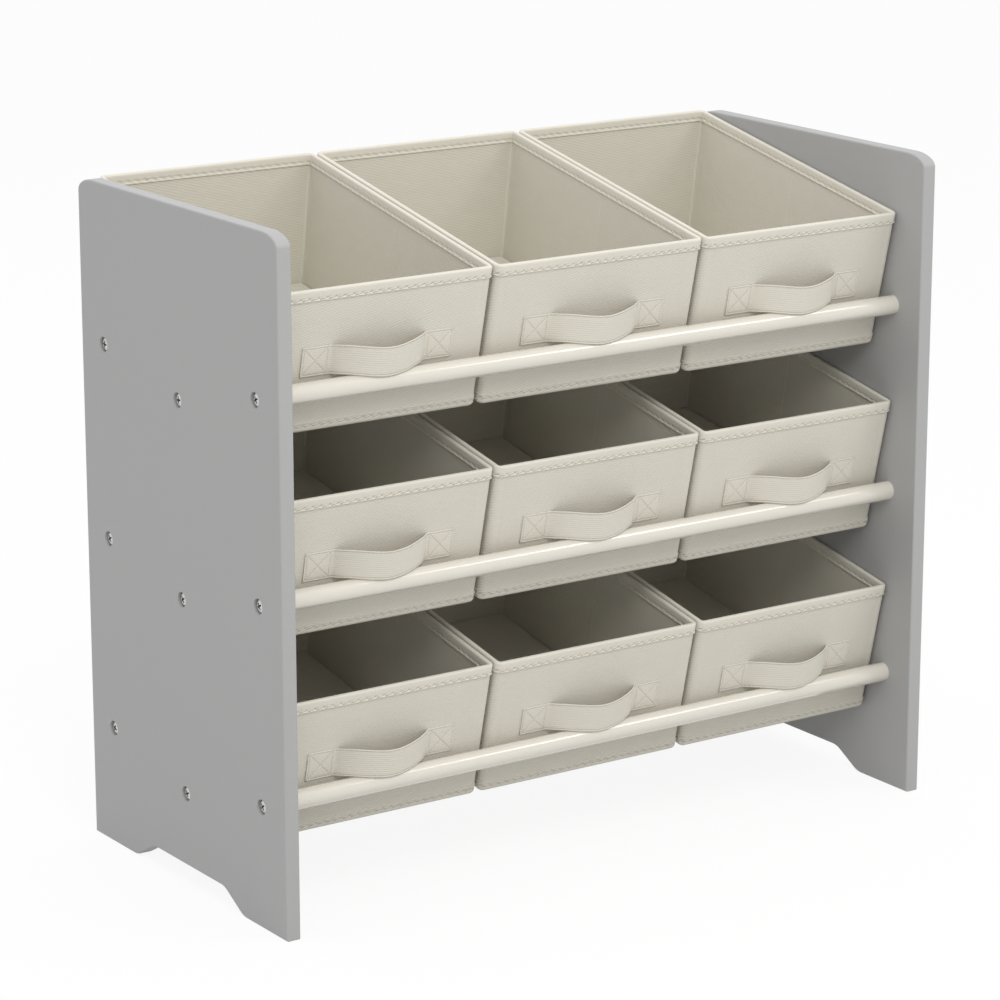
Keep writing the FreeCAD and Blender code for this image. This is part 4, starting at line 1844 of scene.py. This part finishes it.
@dataclass
class Studio:
    """A white floor and background, soft lamps and the camera."""

    lamps: tuple[Lamp, ...] = (
        Lamp("key_lamp", (-0.8, -2.0, 2.2), 1.2, 26.0, (1.0, 0.99, 0.97)),
        Lamp("top_lamp", (0.1, 0.0, 2.6), 1.6, 8.0),
        Lamp("rail_lamp", (1.45, -1.35, 1.9), 0.6, 6.0, (1.0, 0.99, 0.98)),
        Lamp("back_lamp", (0.3, 1.9, 2.0), 1.4, 4.0),
    )
    sky: float = 0.85
    floor_glow: float = 0.9
    floor_bounce: float = 0.68
    floor_shade: float = 0.86
    floor_size: float = 14.0
    sensor: float = 36.0
    lens: float = 135.4
    yaw: float = math.radians(34.35)
    pitch: float = math.radians(14.76)
    distance: float = 3.1
    aim_right: float = -11.2 * MM
    aim_up: float = -4.5 * MM

    def build(self) -> None:
        """Sets up the floor, the sky, the lamps and the camera."""
        middle = self.middle()
        self.add_floor()
        self.add_sky()
        for lamp in self.lamps:
            self.add_lamp(lamp, middle)
        self.add_camera(middle)
        bpy.context.scene.view_settings.view_transform = "Standard"

    @staticmethod
    def middle() -> Vector:
        """The middle of the box round the two panels."""
        left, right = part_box("left_panel"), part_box("right_panel")
        return (left[0] + right[1]) / 2

    @staticmethod
    def seen_directly(maker: NodeMaker) -> Wire:
        """Which rays show the background itself.

        Args:
            maker: The tree's node maker.

        Returns:
            1 for rays that the camera sees straight, in a gloss or through glass, else 0.
        """
        path = maker.node("ShaderNodeLightPath")
        shown = maker.math("MAXIMUM", path.other("Is Glossy Ray"), path.other("Is Transmission Ray"))
        return maker.math("MAXIMUM", path.other("Is Camera Ray"), shown)

    def add_floor(self) -> None:
        """A pale floor that looks white and keeps the organiser's shadow."""
        half = self.floor_size / 2
        mesh = bpy.data.meshes.new("floor")
        corners = [(-half, -half, 0), (half, -half, 0), (half, half, 0), (-half, half, 0)]
        mesh.from_pydata(corners, [], [(0, 1, 2, 3)])
        material = bpy.data.materials.new("pale_floor")
        maker = NodeMaker.of(material)
        white = maker.node("ShaderNodeEmission", values={"Color": (1, 1, 1, 1), "Strength": 1.0})
        seen = self.seen_directly(maker)
        shade = seen * (self.floor_shade - self.floor_bounce) + self.floor_bounce
        grey = maker.blend(shade, (0, 0, 0, 1), (1, 1, 1, 1))
        matt = maker.node("ShaderNodeBsdfDiffuse", values={"Color": grey})
        shader = maker.node("ShaderNodeMixShader", values={0: seen * self.floor_glow, 1: matt, 2: white})
        maker.node("ShaderNodeOutputMaterial", values={"Surface": shader})
        floor = new_object("floor", mesh)
        mesh.materials.append(material)

    def add_sky(self) -> None:
        """A sky that looks white and lights softly."""
        world = bpy.data.worlds.new("studio")
        maker = NodeMaker.of(world)
        strength = self.seen_directly(maker) * (1 - self.sky) + self.sky
        sky = maker.node("ShaderNodeBackground", values={"Color": (1, 1, 1, 1), "Strength": strength})
        maker.node("ShaderNodeOutputWorld", values={"Surface": sky})
        bpy.context.scene.world = world

    @staticmethod
    def add_lamp(lamp: Lamp, aim: Vector) -> None:
        """Adds one lamp that faces a point.

        Args:
            lamp: The lamp.
            aim: The point.
        """
        data = bpy.data.lights.new(lamp.name, "AREA")
        data.size, data.energy, data.color = lamp.size, lamp.watts, lamp.color
        made = new_object(lamp.name, data)
        made.location = lamp.place
        made.rotation_euler = (aim - made.location).to_track_quat("-Z", "Y").to_euler()

    def add_camera(self, middle: Vector) -> None:
        """The camera at the photograph's viewing angle.

        Args:
            middle: The middle of the panels' box.
        """
        level = math.cos(self.pitch)
        forward = Vector((math.sin(self.yaw) * level, math.cos(self.yaw) * level, -math.sin(self.pitch)))
        right = Vector((math.cos(self.yaw), -math.sin(self.yaw), 0))
        up = right.cross(forward)
        aim = middle + right * self.aim_right + up * self.aim_up
        data = bpy.data.cameras.new("camera")
        data.sensor_width, data.lens = self.sensor, self.lens
        camera = new_object("camera", data)
        turned = Matrix((right, up, -forward)).transposed().to_4x4()
        camera.matrix_world = Matrix.Translation(aim - forward * self.distance) @ turned
        bpy.context.scene.camera = camera


def main() -> None:
    """Builds the organiser's looks and the studio round it."""
    logging.basicConfig(level=logging.INFO, format="%(name)s %(message)s")
    RackFrame().build()
    shape, sewing = BinShape(), Sewing()
    stitchers = {spacing: Stitcher(spacing) for spacing in Spacing}
    hem_rows = ((sewing.hem_row, sewing.hem_dents),)
    rim_rows = ((sewing.rim_row, sewing.outer_rim_dents),
                (shape.tape_span - sewing.rim_row, sewing.inner_rim_dents))
    cloths = {"twill": replace(TWILL, dents=NeedleDents(rows=hem_rows)),
              "tape": replace(TAPE, dents=NeedleDents(rows=rim_rows))}
    for level, tier in enumerate(TIERS):
        for place, column in enumerate(COLUMNS):
            seed = 1 + place + len(COLUMNS) * level
            Bin(tier, column, shape, sewing, stitchers, cloths, seed).build()
    Studio().build()


if __name__ == "__main__":
    main()
